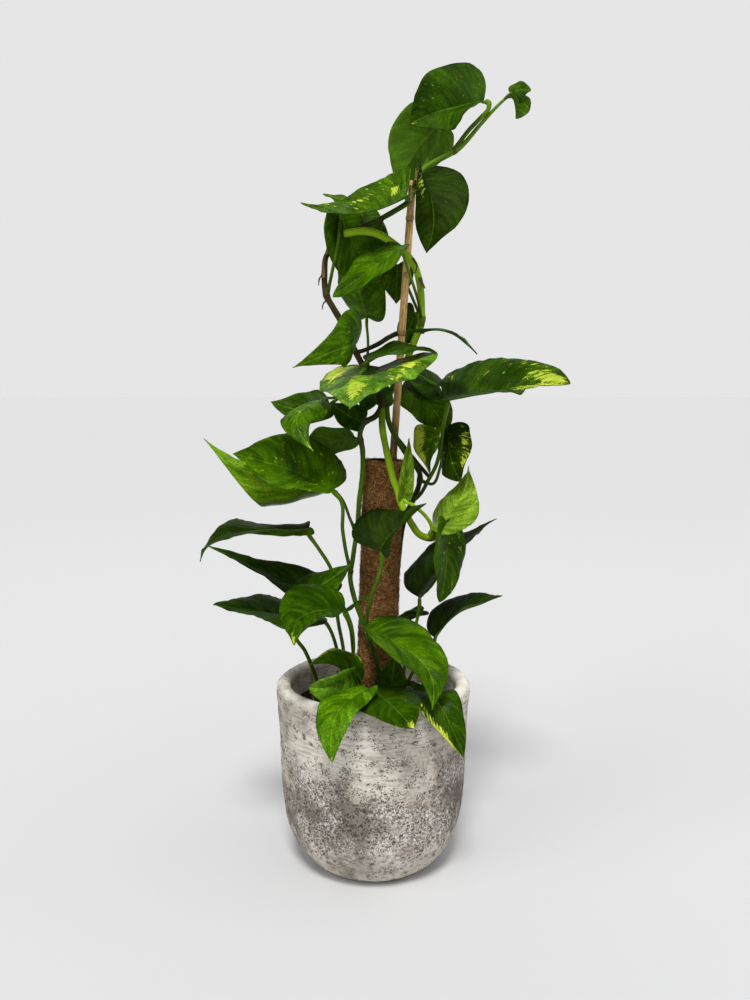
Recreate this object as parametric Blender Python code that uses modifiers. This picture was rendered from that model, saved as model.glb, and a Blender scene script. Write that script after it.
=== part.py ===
"""Potted golden pothos climbing a coir pole and a bamboo cane.

The frame is in metres with +Z up. Its origin is the centre of the pot's foot, and -Y is the
plant's front. Leaves and stems are placed by whole millimetres, as measured on the plant.
"""

import math
from dataclasses import dataclass

import bmesh
import bpy
import numpy as np
from mathutils import Matrix, Vector

MM = 0.001

# Clearance between pieces that touch
GAP = 0.0003

# Pot
POT_RADIUS = 0.085
POT_HEIGHT = 0.165
POT_FOOT_RADIUS = 0.047
POT_WALL = 0.012
POT_FLOOR = 0.014
POT_STEPS = 32

# Soil
SOIL_TOP = 0.141
SOIL_MOUND = 0.003
HOLE_STEPS = 16

# Coir pole, its stiff core tube and the cane that stands in it
POLE_RADIUS = 0.0175
POLE_LENGTH = 0.301
COIR_THICKNESS = 0.0027
CORE_WALL = 0.0013
CORE_FLOOR = 0.004
POLE_FOOT = (-0.0006, 0.005, 0.058)
POLE_LEAN = 0.032
CANE_RADIUS = 0.0033
CANE_FOOT = (-0.003, 0.005, 0.0625)
CANE_TOP = (0.033, 0.007, 0.593)
CANE_KNOTS = (0.150, 0.258, 0.360, 0.468, 0.563)
KNOT_REACH = 0.003
KNOT_RISE = 0.0005
CANE_STEPS = 12
POLE_STEPS = 24

# Stems and leaves
STEM_RESOLUTION = 1
STALK_RESOLUTION = 0
STEM_STEP = 14.0
STALK_STEP = 18.0
STEM_OVERLAP = 2.0
BLADE_THICKNESS = 0.0008
BLADE_ROW_LENGTH = 12.0
BLADE_FEWEST_ROWS = 5
BLADE_MOST_ROWS = 8
BLADE_COLUMNS = 2
ROOT_CLEARANCE = 0.0007
WAVE_TURN = 2.4
WIDTH_TURNS = np.linspace(0.0, math.pi, 60)
SCRAP_FACES = 40
JOIN_SOLVER = "EXACT"


@dataclass(frozen=True)
class Stem:
    """A round stem through hand-chosen points (mm). Its radii (mm) are spread along it."""

    name: str
    points: tuple
    radius: tuple = (2.6, 2.6)


@dataclass(frozen=True)
class Leaf:
    """A heart-shaped blade on its stalk. Places are in mm, angles in degrees.

    base is where the stalk meets the blade and tip is its point. face is the way that its
    upper side looks. arch is the rise of the midrib, bow its sideways bend to the left, and
    droop the drop of both margins, each as a share of the blade's length. fold raises the
    left and the right half, twist turns the blade about its midrib, and hook moves the
    height of the arch toward the tip. lobe is the size of the rounded lobes behind the
    stalk, and taper how far back the blade is widest. stalk lists the stalk's points from
    the stem to the blade.
    """

    name: str
    base: tuple
    tip: tuple
    face: tuple
    width: float
    stalk: tuple
    arch: float = 0.08
    bow: float = 0.0
    droop: float = 0.06
    fold: tuple = (8, 8)
    twist: float = 0.0
    hook: float = 0.0
    wave: float = 1.5
    lobe: float = 0.22
    taper: float = 1.1
    stalk_radius: float = 1.3


MAIN_STEMS = (
    Stem(
        "main",
        (
            (8, -26, 118), (8, -26, 146), (7, -24, 165), (4, -22, 183), (-3, -20, 205),
            (-11, -18, 226), (-17, -14, 243), (-20, -8, 259), (-18, -6, 272), (-16, -6, 286),
            (-14, -6, 299), (-12, -8, 325), (-9, -11, 350), (-9, -13, 368), (-11, -14, 383),
            (-8, -15, 391), (2, -12, 397), (7, -8, 406), (5, -3, 417), (-1, 0, 427), (-9, 0, 440),
            (-20, 0, 461), (-28, 0, 478), (-34, -2, 488), (-39, -2, 497), (-41, 0, 508),
            (-41, 0, 519), (-40, 0, 529), (-35, 0, 538), (-30, 0, 545), (-21, 0, 550),
            (-3, 0, 557), (18, -3, 567), (29, -5, 574), (34, -3, 583), (36, -2, 593),
            (43, 0, 602), (55, 0, 609), (70, 0, 617), (88, 0, 636), (100, 0, 649), (114, 0, 662),
        ),
        (2.6, 2.3, 2.1, 2.2, 2.8, 2.7, 2.1, 2.4, 1.0),
    ),
    Stem(
        "second",
        (
            (-24, -1, 549), (-7, -6, 550), (4, -10, 547), (14, -12, 541), (22, -12, 535),
            (29, -10, 529), (34, -6, 523), (38, 0, 514), (41, 5, 495), (41, 8, 477),
            (34, 12, 457), (27, 15, 440), (18, 16, 423), (12, 12, 407), (13, 3, 393),
            (21, -3, 376), (30, 0, 362), (37, 6, 353), (41, 12, 345), (40, 16, 334),
            (35, 22, 321), (28, 30, 302), (23, 36, 264), (19, 36, 208), (17, 34, 165),
            (17, 34, 146), (17, 34, 118),
        ),
        (3.3, 3.0, 3.0, 2.4, 2.4, 2.5, 2.6, 2.6),
    ),
    Stem("second_side", ((21, -3, 377), (34, 4, 361), (50, 14, 342)), (2.0, 1.6)),
    Stem(
        "fresh_shoot",
        (
            (7, -9, 403), (8, -16, 385), (11, -20, 369), (14, -22, 356), (17, -24, 344),
            (21, -26, 334), (24, -28, 323), (28, -28, 315), (33, -28, 306), (39, -26, 298),
            (46, -24, 295), (54, -24, 297), (61, -24, 301),
        ),
        (2.9, 3.0),
    ),
    Stem(
        "cut_stub",
        (
            (-32, -12, 459), (-24, -8, 452), (-14, -2, 451), (3, -3, 457), (14, 6, 464),
            (23, 14, 468), (33, 13, 469), (38, 10, 468),
        ),
        (1.6, 2.4),
    ),
)

MAIN_LEAVES = (
    Leaf("crown", (91, 0, 655), (30, -4, 636), (-2, -8, 6), 74,
         ((67, 0, 616), (79, -1, 632), (89, -2, 642), (95, -2, 649), (95, -1, 654)),
         arch=-0.04, bow=-0.13, fold=(10, 40), twist=-50, lobe=0.04, taper=0.7, droop=0.0, stalk_radius=1.8),
    Leaf("bud_upper", (114, 0, 661), (129, -5, 662), (0, -9, 2), 15, ((111, 0, 659),),
         bow=0.1, fold=(5, 5), lobe=0.12, taper=0.5, stalk_radius=0.9),
    Leaf("bud_lower", (115, -1, 659), (117, -8, 639), (3, -8, 2), 29, ((111, 0, 659),),
         arch=0.03, bow=0.05, fold=(8, 66), lobe=0.12, taper=0.6, stalk_radius=0.9),
    Leaf("crown_back", (57, 22, 645), (20, 14, 590), (-6, 8, 1), 60,
         ((38, -2, 597), (48, 10, 615), (56, 19, 636)),
         arch=0.12, fold=(15, 15), twist=-10, lobe=0.08, taper=0.9, droop=0.0),
    Leaf("crown_right", (39, -9, 594), (43, -29, 529), (4, -9, 3), 65, ((34, -3, 586), (37, -7, 591)),
         arch=0.05, bow=0.11, fold=(39, 31), twist=76, lobe=0.13, taper=0.8, droop=0.01),
    Leaf("flag", (27, -18, 576), (-60, -6, 573), (-2, -9, 4), 60, ((30, -5, 575),),
         arch=-0.05, bow=0.12, fold=(55, -5), lobe=0.22, taper=1.8, droop=0.0, stalk_radius=1.6),
    Leaf("upper_small", (-13, 26, 574), (-44, 32, 588), (0, -5, 7), 22, ((-7, 0, 556), (-10, 14, 567)),
         arch=0.05, bow=0.01, fold=(9, 2), twist=2, taper=1.2, stalk_radius=1.0),
    Leaf("upper_left", (-28, 8, 567), (6, 22, 512), (4, -9, 0), 66,
         ((-39, -2, 498), (-34, -6, 519), (-29, -7, 543), (-28, -1, 560)),
         arch=0.02, bow=-0.06, fold=(18, 15), twist=60, lobe=0.12, taper=0.5, droop=0.0, stalk_radius=1.5),
    Leaf("upper_hanging", (-6, 41, 484), (-21, 59, 556), (-3, -7, 0), 46,
         ((-8, 0, 438), (-5, 17, 450), (-5, 32, 466), (-6, 39, 477)),
         arch=0.19, bow=-0.05, fold=(1, 1), twist=41, hook=-0.3, lobe=0.13, taper=0.6, droop=0.09),
    Leaf("upper_tucked", (21, 16, 526), (20, 20, 493), (-2, -9, 1), 30,
         ((41, 8, 480), (37, 14, 490), (28, 18, 511))),
    Leaf("loop_leaf", (23, -28, 535), (-33, -30, 494), (-5, -6, 7), 50,
         ((41, 7, 479), (37, -11, 494), (30, -24, 512), (25, -27, 526)),
         arch=0.02, bow=0.06, twist=-20, lobe=0.05, taper=0.7, droop=0.0),
    Leaf("left_striped", (-15, -14, 456), (-63, -66, 436), (9, -5, -2), 47,
         ((-27, 0, 476), (-20, -10, 465)),
         arch=0.33, bow=-0.19, fold=(26, -5), twist=44, hook=0.2, lobe=0.03, taper=1.3, droop=0.17),
    Leaf("thin_right", (41, -12, 467), (86, -24, 448), (1, -1, 9), 39, ((40, 9, 474),),
         arch=0.16, bow=-0.04, fold=(4, 13), twist=-12, hook=-0.3, droop=0.05),
    Leaf("behind_cane", (36, 18, 486), (24, 16, 456), (3, -9, -1), 24, ((41, 8, 478),),
         arch=0.12, bow=-0.02, fold=(1, 9), twist=34, hook=-0.2, taper=0.6, droop=0.1, stalk_radius=1.0),
    Leaf("centre_large", (5, -18, 438), (-18, -104, 405), (-2, -3, 9), 102, ((2, -2, 421), (6, -12, 429)),
         arch=0.0, fold=(10, 5), lobe=0.24, taper=1.8, droop=0.08, stalk_radius=1.6),
    Leaf("centre_dark", (-6, -20, 443), (53, -26, 449), (-1, -3, 10), 44, ((-1, 0, 428), (-4, -12, 437)),
         arch=0.1, fold=(13, 13), lobe=0.1),
    Leaf("right_long", (63, -2, 410), (159, -44, 424), (-3, -3, 9), 98,
         ((35, 22, 321), (41, 14, 327), (48, 5, 341), (54, -2, 354), (58, -6, 372), (60, -5, 389)),
         arch=-0.04, bow=0.18, fold=(20, 15), twist=20, hook=0.6, lobe=0.08, droop=0.0, stalk_radius=1.7),
    Leaf("right_back_high", (59, 34, 422), (20, 38, 435), (1, -6, 7), 42, ((27, 15, 440), (45, 27, 429)),
         bow=0.01, fold=(8, -7), twist=-10, droop=0.07),
    Leaf("right_back_low", (26, 32, 422), (64, 16, 384), (3, -7, 7), 50, ((20, 16, 427),),
         arch=0.05, bow=0.08, fold=(5, 5), twist=35, lobe=0.08, taper=0.4, droop=0.07),
    Leaf("right_hanging", (64, -1, 387), (73, -29, 343), (-8, -5, 2), 46,
         ((41, 14, 340), (52, 11, 337), (58, 6, 351), (61, 4, 372)),
         arch=0.05, bow=-0.04, fold=(0, 5), twist=-15, lobe=0.05, taper=0.7, droop=0.15),
    Leaf("right_folded", (54, 1, 386), (49, 1, 346), (-8, -6, 1), 40, ((60, 5, 363), (56, 5, 376)),
         fold=(25, 25), lobe=0.05, taper=1.7, droop=0.0),
    Leaf("fresh_large", (49, -31, 302), (82, -2, 354), (-4, -7, 6), 63, ((48, -24, 296),),
         arch=-0.03, bow=-0.12, fold=(-1, 3), twist=92, hook=0.2, lobe=0.05, taper=2.2, droop=0.11,
         stalk_radius=1.6),
    Leaf("fresh_curled", (25, -28, 329), (30, -24, 379), (0, -8, 1), 20,
         ((51, -24, 296), (48, -26, 308), (43, -28, 315), (32, -30, 324), (27, -29, 327)),
         fold=(60, 40), lobe=0.1, stalk_radius=1.6),
    Leaf("fresh_hanging", (60, -37, 311), (55, -45, 244), (8, -7, 0), 46,
         ((59, -24, 299), (61, -31, 302)),
         arch=0.06, fold=(15, 15), twist=16, lobe=0.1, taper=0.6, droop=0.04, stalk_radius=1.6),
    Leaf("front_large", (-6, -46, 223), (46, -96, 170), (4, -4, 8), 74, ((1, -22, 197), (-4, -36, 211)),
         arch=0.08, bow=0.2, fold=(18, 16), twist=48, hook=0.4, lobe=0.04, taper=1.4, droop=0.04,
         stalk_radius=1.5),
    Leaf("pole_front", (6, -46, 288), (44, -36, 326), (-6, -2, 8), 63,
         ((-6, -20, 212), (-4, -31, 238), (2, -37, 257), (7, -42, 275)),
         arch=0.06, bow=0.01, fold=(35, 26), twist=-49, hook=-0.4, lobe=0.11, taper=1.7, droop=0.0,
         stalk_radius=1.6),
    Leaf("left_large", (-34, -28, 336), (-113, -52, 368), (4, -7, 6), 81,
         ((-19, -8, 262), (-22, -13, 274), (-26, -19, 300), (-28, -25, 328)),
         arch=-0.03, bow=-0.07, fold=(22, 17), twist=-64, hook=-0.2, lobe=0.11, taper=1.2, droop=0.01,
         stalk_radius=1.6),
    Leaf("left_under", (-36, 11, 333), (-141, -27, 379), (4, -8, 1), 58,
         ((-16, -6, 299), (-20, 0, 307), (-28, 6, 325)),
         arch=0.23, bow=0.14, fold=(-14, -13), twist=92, lobe=0.06, taper=1.6, droop=0.17),
    Leaf("left_high", (-38, 12, 406), (-89, 10, 409), (1, -8, 5), 38,
         ((-5, 0, 433), (-20, 7, 421), (-30, 11, 412)),
         arch=-0.02, bow=0.11, fold=(16, 11), twist=-25, hook=-0.1, lobe=0.06, taper=1.0, droop=0.03),
    Leaf("left_light", (-44, -24, 410), (-47, -68, 371), (-3, -6, 8), 40,
         ((-29, 10, 413), (-36, -2, 412), (-41, -15, 412)),
         arch=0.21, bow=-0.21, fold=(3, 4), twist=-27, hook=0.1, lobe=0.05, taper=1.3, droop=0.13),
    Leaf("left_round", (-8, -1, 391), (-37, 7, 409), (0, -8, 6), 30, ((-6, -14, 392),),
         arch=0.02, bow=0.08, fold=(20, 17), lobe=0.05),
    Leaf("left_paler", (-16, 8, 378), (-62, 10, 362), (-2, 7, 6), 42, ((-10, -13, 377),),
         arch=0.12, twist=40, lobe=0.05, taper=0.5),
    Leaf("under_centre", (3, -1, 407), (-3, -4, 434), (0, -9, 2), 30, ((6, -7, 407),)),
    Leaf("pole_back", (46, 39, 216), (23, 41, 207), (0, -5, 8), 19, ((20, 36, 208), (34, 38, 216)),
         arch=0.1, bow=0.06, fold=(20, -1), twist=-13, hook=-0.1, lobe=0.21, stalk_radius=1.0),
)

LEFT_STEMS = (
    Stem("left_root", ((-24, -14, 118), (-24, -14, 146), (-25, -14, 168)), (2.6, 2.2)),
)

LEFT_LEAVES = (
    Leaf("left_arched", (-55, -24, 300), (-146, -28, 275), (-2, -2, 9), 78,
         ((-24, -14, 160), (-25, -14, 181), (-26, -14, 194), (-31, -12, 223), (-32, -12, 243),
          (-36, -14, 265), (-46, -20, 284)),
         arch=0.22, bow=0.22, fold=(24, 33), twist=-33, hook=1.0, lobe=0.08, taper=1.7, droop=0.17,
         stalk_radius=1.6),
    Leaf("left_twisted", (-36, 8, 236), (-146, -1, 285), (3, -1, 10), 52,
         ((-24, -14, 160), (-17, -7, 197), (-20, 1, 215), (-28, 5, 230)),
         arch=-0.01, bow=0.03, fold=(15, 51), twist=42, lobe=0.09, taper=1.9, droop=0.09),
    Leaf("left_low", (-45, 4, 219), (-138, -17, 235), (2, -1, 10), 76,
         ((-24, -14, 160), (-29, -8, 179), (-32, -5, 192), (-40, 0, 212)),
         arch=0.0, bow=0.02, fold=(19, 23), twist=-14, hook=0.3, lobe=0.03, taper=1.0, droop=0.13,
         stalk_radius=1.6),
    Leaf("left_front", (-23, -70, 243), (-59, -119, 229), (1, -3, 9), 60,
         ((-24, -14, 160), (-17, -19, 178), (-18, -24, 199), (-20, -52, 227)),
         arch=0.04, bow=-0.28, fold=(20, 20), twist=-22, lobe=0.05, taper=1.4, droop=0.0),
    Leaf("left_sliver", (-22, -72, 244), (-2, -77, 259), (1, -1, 8), 12, ((-22, -69, 243),),
         arch=-0.0, bow=0.01, fold=(4, 13), twist=4, stalk_radius=1.0),
)

OUTER_STEMS = (
    Stem("outer_root", ((-49, -12, 118), (-49, -12, 146), (-49, -12, 158)), (1.8, 1.7)),
)

OUTER_LEAVES = (
    Leaf("left_inner", (-62, -39, 247), (-19, -30, 273), (-1, -6, 6), 37,
         ((-49, -12, 156), (-50, -12, 167), (-54, -15, 181), (-59, -24, 197), (-65, -38, 212),
          (-67, -44, 230)),
         arch=0.05, bow=-0.07, fold=(-1, 8), twist=-1, taper=1.2, droop=0.07, stalk_radius=1.7),
)

RIGHT_STEMS = (
    Stem("right_root", ((28, -2, 118), (28, -2, 146), (28, -2, 156)), (2.0, 1.8)),
)

RIGHT_LEAVES = (
    Leaf("right_dark", (40, 10, 236), (112, 34, 303), (-6, -1, 7), 78,
         ((28, -2, 154), (27, 1, 168), (33, 6, 188), (38, 8, 211), (41, 9, 226)),
         bow=-0.02, fold=(16, 12), twist=-1, hook=-0.2, lobe=0.03, taper=1.7, droop=0.0,
         stalk_radius=1.5),
    Leaf("right_low", (55, 5, 200), (112, -11, 242), (-6, 0, 8), 57,
         ((28, -2, 154), (36, 2, 171), (49, 6, 187)),
         arch=0.09, bow=0.04, fold=(16, 18), twist=-20, hook=-0.4, lobe=0.05, droop=0.0,
         stalk_radius=1.5),
)

FRONT_LEFT_STEMS = (
    Stem("front_left_root", ((-2, -42, 118), (-2, -42, 146), (-3, -42, 152)), (2.4, 2.2)),
)

FRONT_LEFT_LEAVES = (
    Leaf("rim_left_upper", (-11, -38, 173), (-53, -59, 195), (5, -2, 8), 38,
         ((-3, -42, 150), (-6, -38, 162)),
         arch=0.16, bow=-0.08, fold=(18, 20), lobe=0.04, taper=1.3, droop=0.0),
    Leaf("rim_left_lower", (-16, -55, 187), (-51, -83, 184), (7, -8, 0), 30,
         ((-3, -42, 150), (-9, -48, 172)),
         arch=0.06, bow=0.1, fold=(12, 30), twist=18, lobe=0.05, taper=0.3, droop=0.03, stalk_radius=1.1),
    Leaf("rim_front_bright", (-4, -61, 175), (-31, -123, 139), (-1, -4, 9), 42,
         ((-3, -42, 150), (-2, -52, 164)),
         arch=0.16, bow=-0.11, fold=(30, 24), twist=-38, hook=0.2, lobe=0.04, taper=0.6, droop=0.1),
    Leaf("rim_front_dark", (-1, -50, 171), (31, -114, 162), (-1, -2, 10), 56,
         ((-3, -42, 150), (-3, -45, 161)),
         arch=0.03, fold=(13, 15), twist=24, lobe=0.04, taper=0.6, droop=0.07),
)

FRONT_RIGHT_STEMS = (
    Stem("front_right_root", ((24, -36, 118), (24, -36, 146), (24, -36, 150)), (2.2, 2.0)),
)

FRONT_RIGHT_LEAVES = (
    Leaf("rim_upright", (14, -33, 158), (19, -31, 195), (0, -9, 3), 30, ((24, -36, 148),),
         fold=(8, 10), stalk_radius=1.1),
    Leaf("rim_round", (27, -38, 159), (47, -44, 168), (0, -7, 7), 28, ((24, -36, 148),), stalk_radius=1.1),
    Leaf("rim_right", (45, -50, 168), (73, -86, 127), (2, -6, 7), 38,
         ((24, -36, 148), (35, -38, 150), (42, -44, 161)),
         arch=0.22, bow=-0.05, fold=(18, 16), hook=-0.6, lobe=0.06, taper=1.0, droop=0.05),
)


SPRAYS = (
    ("climbing_vine", MAIN_STEMS, MAIN_LEAVES),
    ("left_shoot", LEFT_STEMS, LEFT_LEAVES),
    ("left_outer_shoot", OUTER_STEMS, OUTER_LEAVES),
    ("right_shoot", RIGHT_STEMS, RIGHT_LEAVES),
    ("front_left_shoot", FRONT_LEFT_STEMS, FRONT_LEFT_LEAVES),
    ("front_right_shoot", FRONT_RIGHT_STEMS, FRONT_RIGHT_LEAVES),
)

ROOTED_STEMS = MAIN_STEMS[:2] + LEFT_STEMS + OUTER_STEMS + RIGHT_STEMS + FRONT_LEFT_STEMS + FRONT_RIGHT_STEMS


def unit(vector):
    """The vector at length one."""
    vector = np.asarray(vector, float)
    return vector / np.linalg.norm(vector)


def blade_axes(leaf):
    """The blade's length and its three directions: to the tip, to the left and upward."""
    base, tip = np.array(leaf.base, float), np.array(leaf.tip, float)
    length = np.linalg.norm(tip - base)
    ahead = (tip - base) / length
    upward = unit(np.array(leaf.face, float) - np.dot(leaf.face, ahead) * ahead)
    return length, ahead, np.cross(upward, ahead), upward


def outline(turn, taper):
    """How wide the blade is at a turn from 0 at the stalk to pi at the tip."""
    return np.sin(turn) * np.cos(turn / 2.0) ** taper


def blade_surface(leaf, rows, columns):
    """Points of the blade's middle surface, one row from edge to edge for each step to the tip.

    A turn from 0 at the stalk to pi at the tip gives the place on the midrib and on the
    margin, which starts behind the stalk as a rounded lobe. Side veins join the two. The
    midrib bends over the line from base to tip, and each row stands square to it.
    """
    length, ahead, leftward, upward = blade_axes(leaf)
    turn = np.linspace(0.0, math.pi, rows + 1)[:, None]
    side = np.linspace(-1.0, 1.0, 2 * columns + 1)[None, :]
    share = (1.0 - np.cos(turn)) / 2.0
    rib = share**1.35
    lobe = leaf.lobe * np.clip(np.sin(2.0 * turn), 0.0, None)
    out = np.abs(side)
    reach = length * (share**1.2 - lobe - rib) * out**1.3
    half = 0.5 * leaf.width
    across = half * outline(turn, leaf.taper) / outline(WIDTH_TURNS, leaf.taper).max() * side
    raised = np.radians(np.where(side > 0.0, leaf.fold[0], leaf.fold[1]))
    beat = leaf.width * 0.7 + WAVE_TURN * side + 4.0 * math.pi * share
    height = (
        np.abs(across) * np.sin(raised)
        - leaf.droop * length * (across / half) ** 2
        + leaf.wave * np.sin(beat) * out**2 * np.sin(turn)
    )
    across = across * np.cos(raised)
    angle = np.radians(leaf.twist) * (rib - 0.5)
    sideways = across * np.cos(angle) - height * np.sin(angle)
    height = across * np.sin(angle) + height * np.cos(angle)
    bend = leaf.bow * leftward + leaf.arch * upward
    lean = 1.0 + leaf.hook * (2.0 * rib - 1.0)
    rise = rib * (1.0 - rib) * lean
    slope = (1.0 - 2.0 * rib) * lean + 2.0 * leaf.hook * rib * (1.0 - rib)
    forward = ahead + 4.0 * slope[..., None] * bend
    forward = forward / np.linalg.norm(forward, axis=-1, keepdims=True)
    up = upward - (forward @ upward)[..., None] * forward
    up = up / np.linalg.norm(up, axis=-1, keepdims=True)
    left = np.cross(up, forward)
    return (
        np.array(leaf.base, float)
        + length * rib[..., None] * ahead
        + 4.0 * length * rise[..., None] * bend
        + reach[..., None] * forward
        + sideways[..., None] * left
        + height[..., None] * up
    )


def smooth_path(points, step):
    """Points about a step apart on a smooth curve through the given points."""
    points = np.array(points, float)
    reach = np.concatenate([[0.0], np.cumsum(np.linalg.norm(np.diff(points, axis=0), axis=1))])
    if len(points) > 2:
        slope = np.gradient(points, reach, axis=0)
    else:
        slope = np.diff(points, axis=0)[[0, 0]] / reach[-1]
    count = max(2, round(reach[-1] / step) + 1)
    at = np.linspace(0.0, reach[-1], count)
    index = np.clip(np.searchsorted(reach, at, side="right") - 1, 0, len(points) - 2)
    span = (reach[index + 1] - reach[index])[:, None]
    t = (at - reach[index])[:, None] / span
    return (
        points[index] * (1 + 2 * t) * (1 - t) ** 2
        + slope[index] * span * t * (1 - t) ** 2
        + points[index + 1] * t**2 * (3 - 2 * t)
        + slope[index + 1] * span * t**2 * (t - 1)
    )


def stalk_points(leaf):
    """The stalk's own points and a last one just inside the blade."""
    _, ahead, _, upward = blade_axes(leaf)
    end = np.array(leaf.base, float) + 1.2 * ahead - 0.1 * upward
    return (*leaf.stalk, tuple(end))


# Blender objects


def new_collection(name):
    """A collection of this name in the scene."""
    collection = bpy.data.collections.new(name)
    bpy.context.scene.collection.children.link(collection)
    return collection


def new_material(name, colour, roughness):
    """A plain material with a base colour and a roughness."""
    material = bpy.data.materials.new(name)
    material.use_nodes = True
    shader = material.node_tree.nodes["Principled BSDF"]
    shader.inputs["Base Color"].default_value = (*colour, 1.0)
    shader.inputs["Roughness"].default_value = roughness
    shader.inputs["Metallic"].default_value = 0.0
    return material


def new_object(name, mesh, collection, material=None):
    """An object of this mesh in the collection, shaded smooth if it has a material."""
    obj = bpy.data.objects.new(name, mesh)
    collection.objects.link(obj)
    if material:
        mesh.materials.clear()
        mesh.materials.append(material)
        mesh.shade_smooth()
        mesh.set_sharp_from_angle(angle=math.radians(40))
    return obj


def turned(name, profile, steps, closed, collection, material=None):
    """A profile of (radius, height) pairs in metres, turned about Z.

    The profile runs down its outer side. A closed one is a ring, and another starts and ends
    on the axis.
    """
    mesh = bpy.data.meshes.new(name)
    points = [(radius, 0.0, height) for radius, height in profile]
    edges = [(i, i + 1) for i in range(len(points) - 1)]
    if closed:
        edges.append((len(points) - 1, 0))
    mesh.from_pydata(points, edges, [])
    obj = new_object(name, mesh, collection, material)
    screw = obj.modifiers.new("turn", "SCREW")
    screw.steps = steps
    screw.render_steps = steps
    screw.use_merge_vertices = True
    screw.merge_threshold = 0.00005
    screw.use_smooth_shade = True
    return obj


def pot_outer():
    """The outer side of the pot as (radius, height), from under the lip down to the foot."""
    shape = ((0.992, 0.87), (0.976, 0.75), (0.962, 0.5), (0.945, 0.38), (0.918, 0.27),
             (0.875, 0.19), (0.813, 0.125), (0.755, 0.085), (0.702, 0.05), (0.640, 0.022),
             (0.590, 0.006))
    side = [(POT_RADIUS * radius, POT_HEIGHT * height) for radius, height in shape]
    return side + [(POT_FOOT_RADIUS, 0.0)]


def pot_inner():
    """The inner side of the pot as (radius, height), from the floor up to below the lip."""
    top = POT_RADIUS - POT_WALL
    return [
        (top * 0.60, POT_FLOOR),
        (top * 0.77, POT_FLOOR + 0.008),
        (top * 0.88, POT_FLOOR + 0.022),
        (top * 0.95, POT_FLOOR + 0.053),
        (top * 0.985, SOIL_TOP - 0.005),
        (top, POT_HEIGHT * 0.93),
    ]


def pot_lip():
    """The round lip as (radius, height), from the inner side over to the outer side."""
    reach = POT_WALL / 2.0
    centre = (POT_RADIUS - reach, POT_HEIGHT - reach)
    turns = np.radians(np.linspace(180.0, 0.0, 9))
    return [(centre[0] + reach * math.cos(t), centre[1] + reach * math.sin(t)) for t in turns]


def build_pot(collection):
    """The thick-walled pot with its round lip and flat foot."""
    concrete = new_material("concrete", (0.50, 0.46, 0.42), 0.9)
    profile = [(0.0, POT_FLOOR)] + pot_inner() + pot_lip() + pot_outer() + [(0.0, 0.0)]
    turned("pot", profile, POT_STEPS, False, collection, concrete)


def soil_profile():
    """The soil as (radius, height): a low mound, then down along the pot's inner side."""
    wall = [(radius - GAP, height + GAP) for radius, height in pot_inner()]
    below = [point for point in wall if point[1] < SOIL_TOP - 0.003]
    edge = wall[-1][0] - 0.0016
    return [
        (0.0, SOIL_TOP + SOIL_MOUND),
        (edge * 0.5, SOIL_TOP + SOIL_MOUND * 0.7),
        (edge, SOIL_TOP),
    ] + below[::-1] + [(0.0, POT_FLOOR + GAP)]


def cut_hole(name, place, lean, radius, length, cutters):
    """A round cutter that starts at a place and runs upward, leaning toward +X."""
    mesh = bpy.data.meshes.new(name)
    shape = bmesh.new()
    bmesh.ops.create_cone(
        shape, cap_ends=True, segments=HOLE_STEPS, radius1=radius, radius2=radius, depth=length
    )
    bmesh.ops.translate(shape, verts=shape.verts, vec=(0.0, 0.0, length / 2.0))
    shape.to_mesh(mesh)
    shape.free()
    cutter = new_object(name, mesh, cutters)
    cutter.location = place
    cutter.rotation_euler = (0.0, lean, 0.0)
    cutter.hide_render = True
    cutter.display_type = "WIRE"


def build_soil(collection, cutters):
    """The soil, with a plain hole for the foot of the pole and for each stem."""
    potting_mix = new_material("potting_mix", (0.05, 0.035, 0.025), 1.0)
    soil = turned("soil", soil_profile(), POT_STEPS, False, collection, potting_mix)
    lean = math.atan(POLE_LEAN)
    foot = (POLE_FOOT[0], POLE_FOOT[1], POLE_FOOT[2] - GAP)
    cut_hole("pole_hole", foot, lean, POLE_RADIUS + 2.0 * GAP, 0.12, cutters)
    for stem in ROOTED_STEMS:
        x, y, z = (value * MM for value in min(stem.points, key=lambda point: point[2]))
        thickest = max(stem.radius[0], stem.radius[-1]) * MM
        bottom = z - STEM_OVERLAP * MM - GAP
        cut_hole(stem.name + "_hole", (x, y, bottom), 0.0, thickest + ROOT_CLEARANCE, 0.05, cutters)
    cut = soil.modifiers.new("holes", "BOOLEAN")
    cut.operation = "DIFFERENCE"
    cut.operand_type = "COLLECTION"
    cut.collection = cutters
    cut.solver = "EXACT"


def build_pole(collection):
    """The coir wrap on its core tube, which is closed at the foot, leaning a little to +X."""
    coir = new_material("coir", (0.28, 0.16, 0.08), 1.0)
    plastic = new_material("core_plastic", (0.16, 0.15, 0.14), 0.6)
    inner = POLE_RADIUS - COIR_THICKNESS
    outside = inner - GAP
    inside = outside - CORE_WALL
    wrap = turned(
        "coir_wrap",
        [(POLE_RADIUS, POLE_LENGTH), (POLE_RADIUS, 0.0), (inner, 0.0), (inner, POLE_LENGTH)],
        POLE_STEPS, True, collection, coir,
    )
    core = turned(
        "pole_core",
        [
            (0.0, CORE_FLOOR), (inside, CORE_FLOOR), (inside, POLE_LENGTH),
            (outside, POLE_LENGTH), (outside, 0.0), (0.0, 0.0),
        ],
        POLE_STEPS, False, collection, plastic,
    )
    for piece in (wrap, core):
        piece.location = POLE_FOOT
        piece.rotation_euler = (0.0, math.atan(POLE_LEAN), 0.0)


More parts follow.
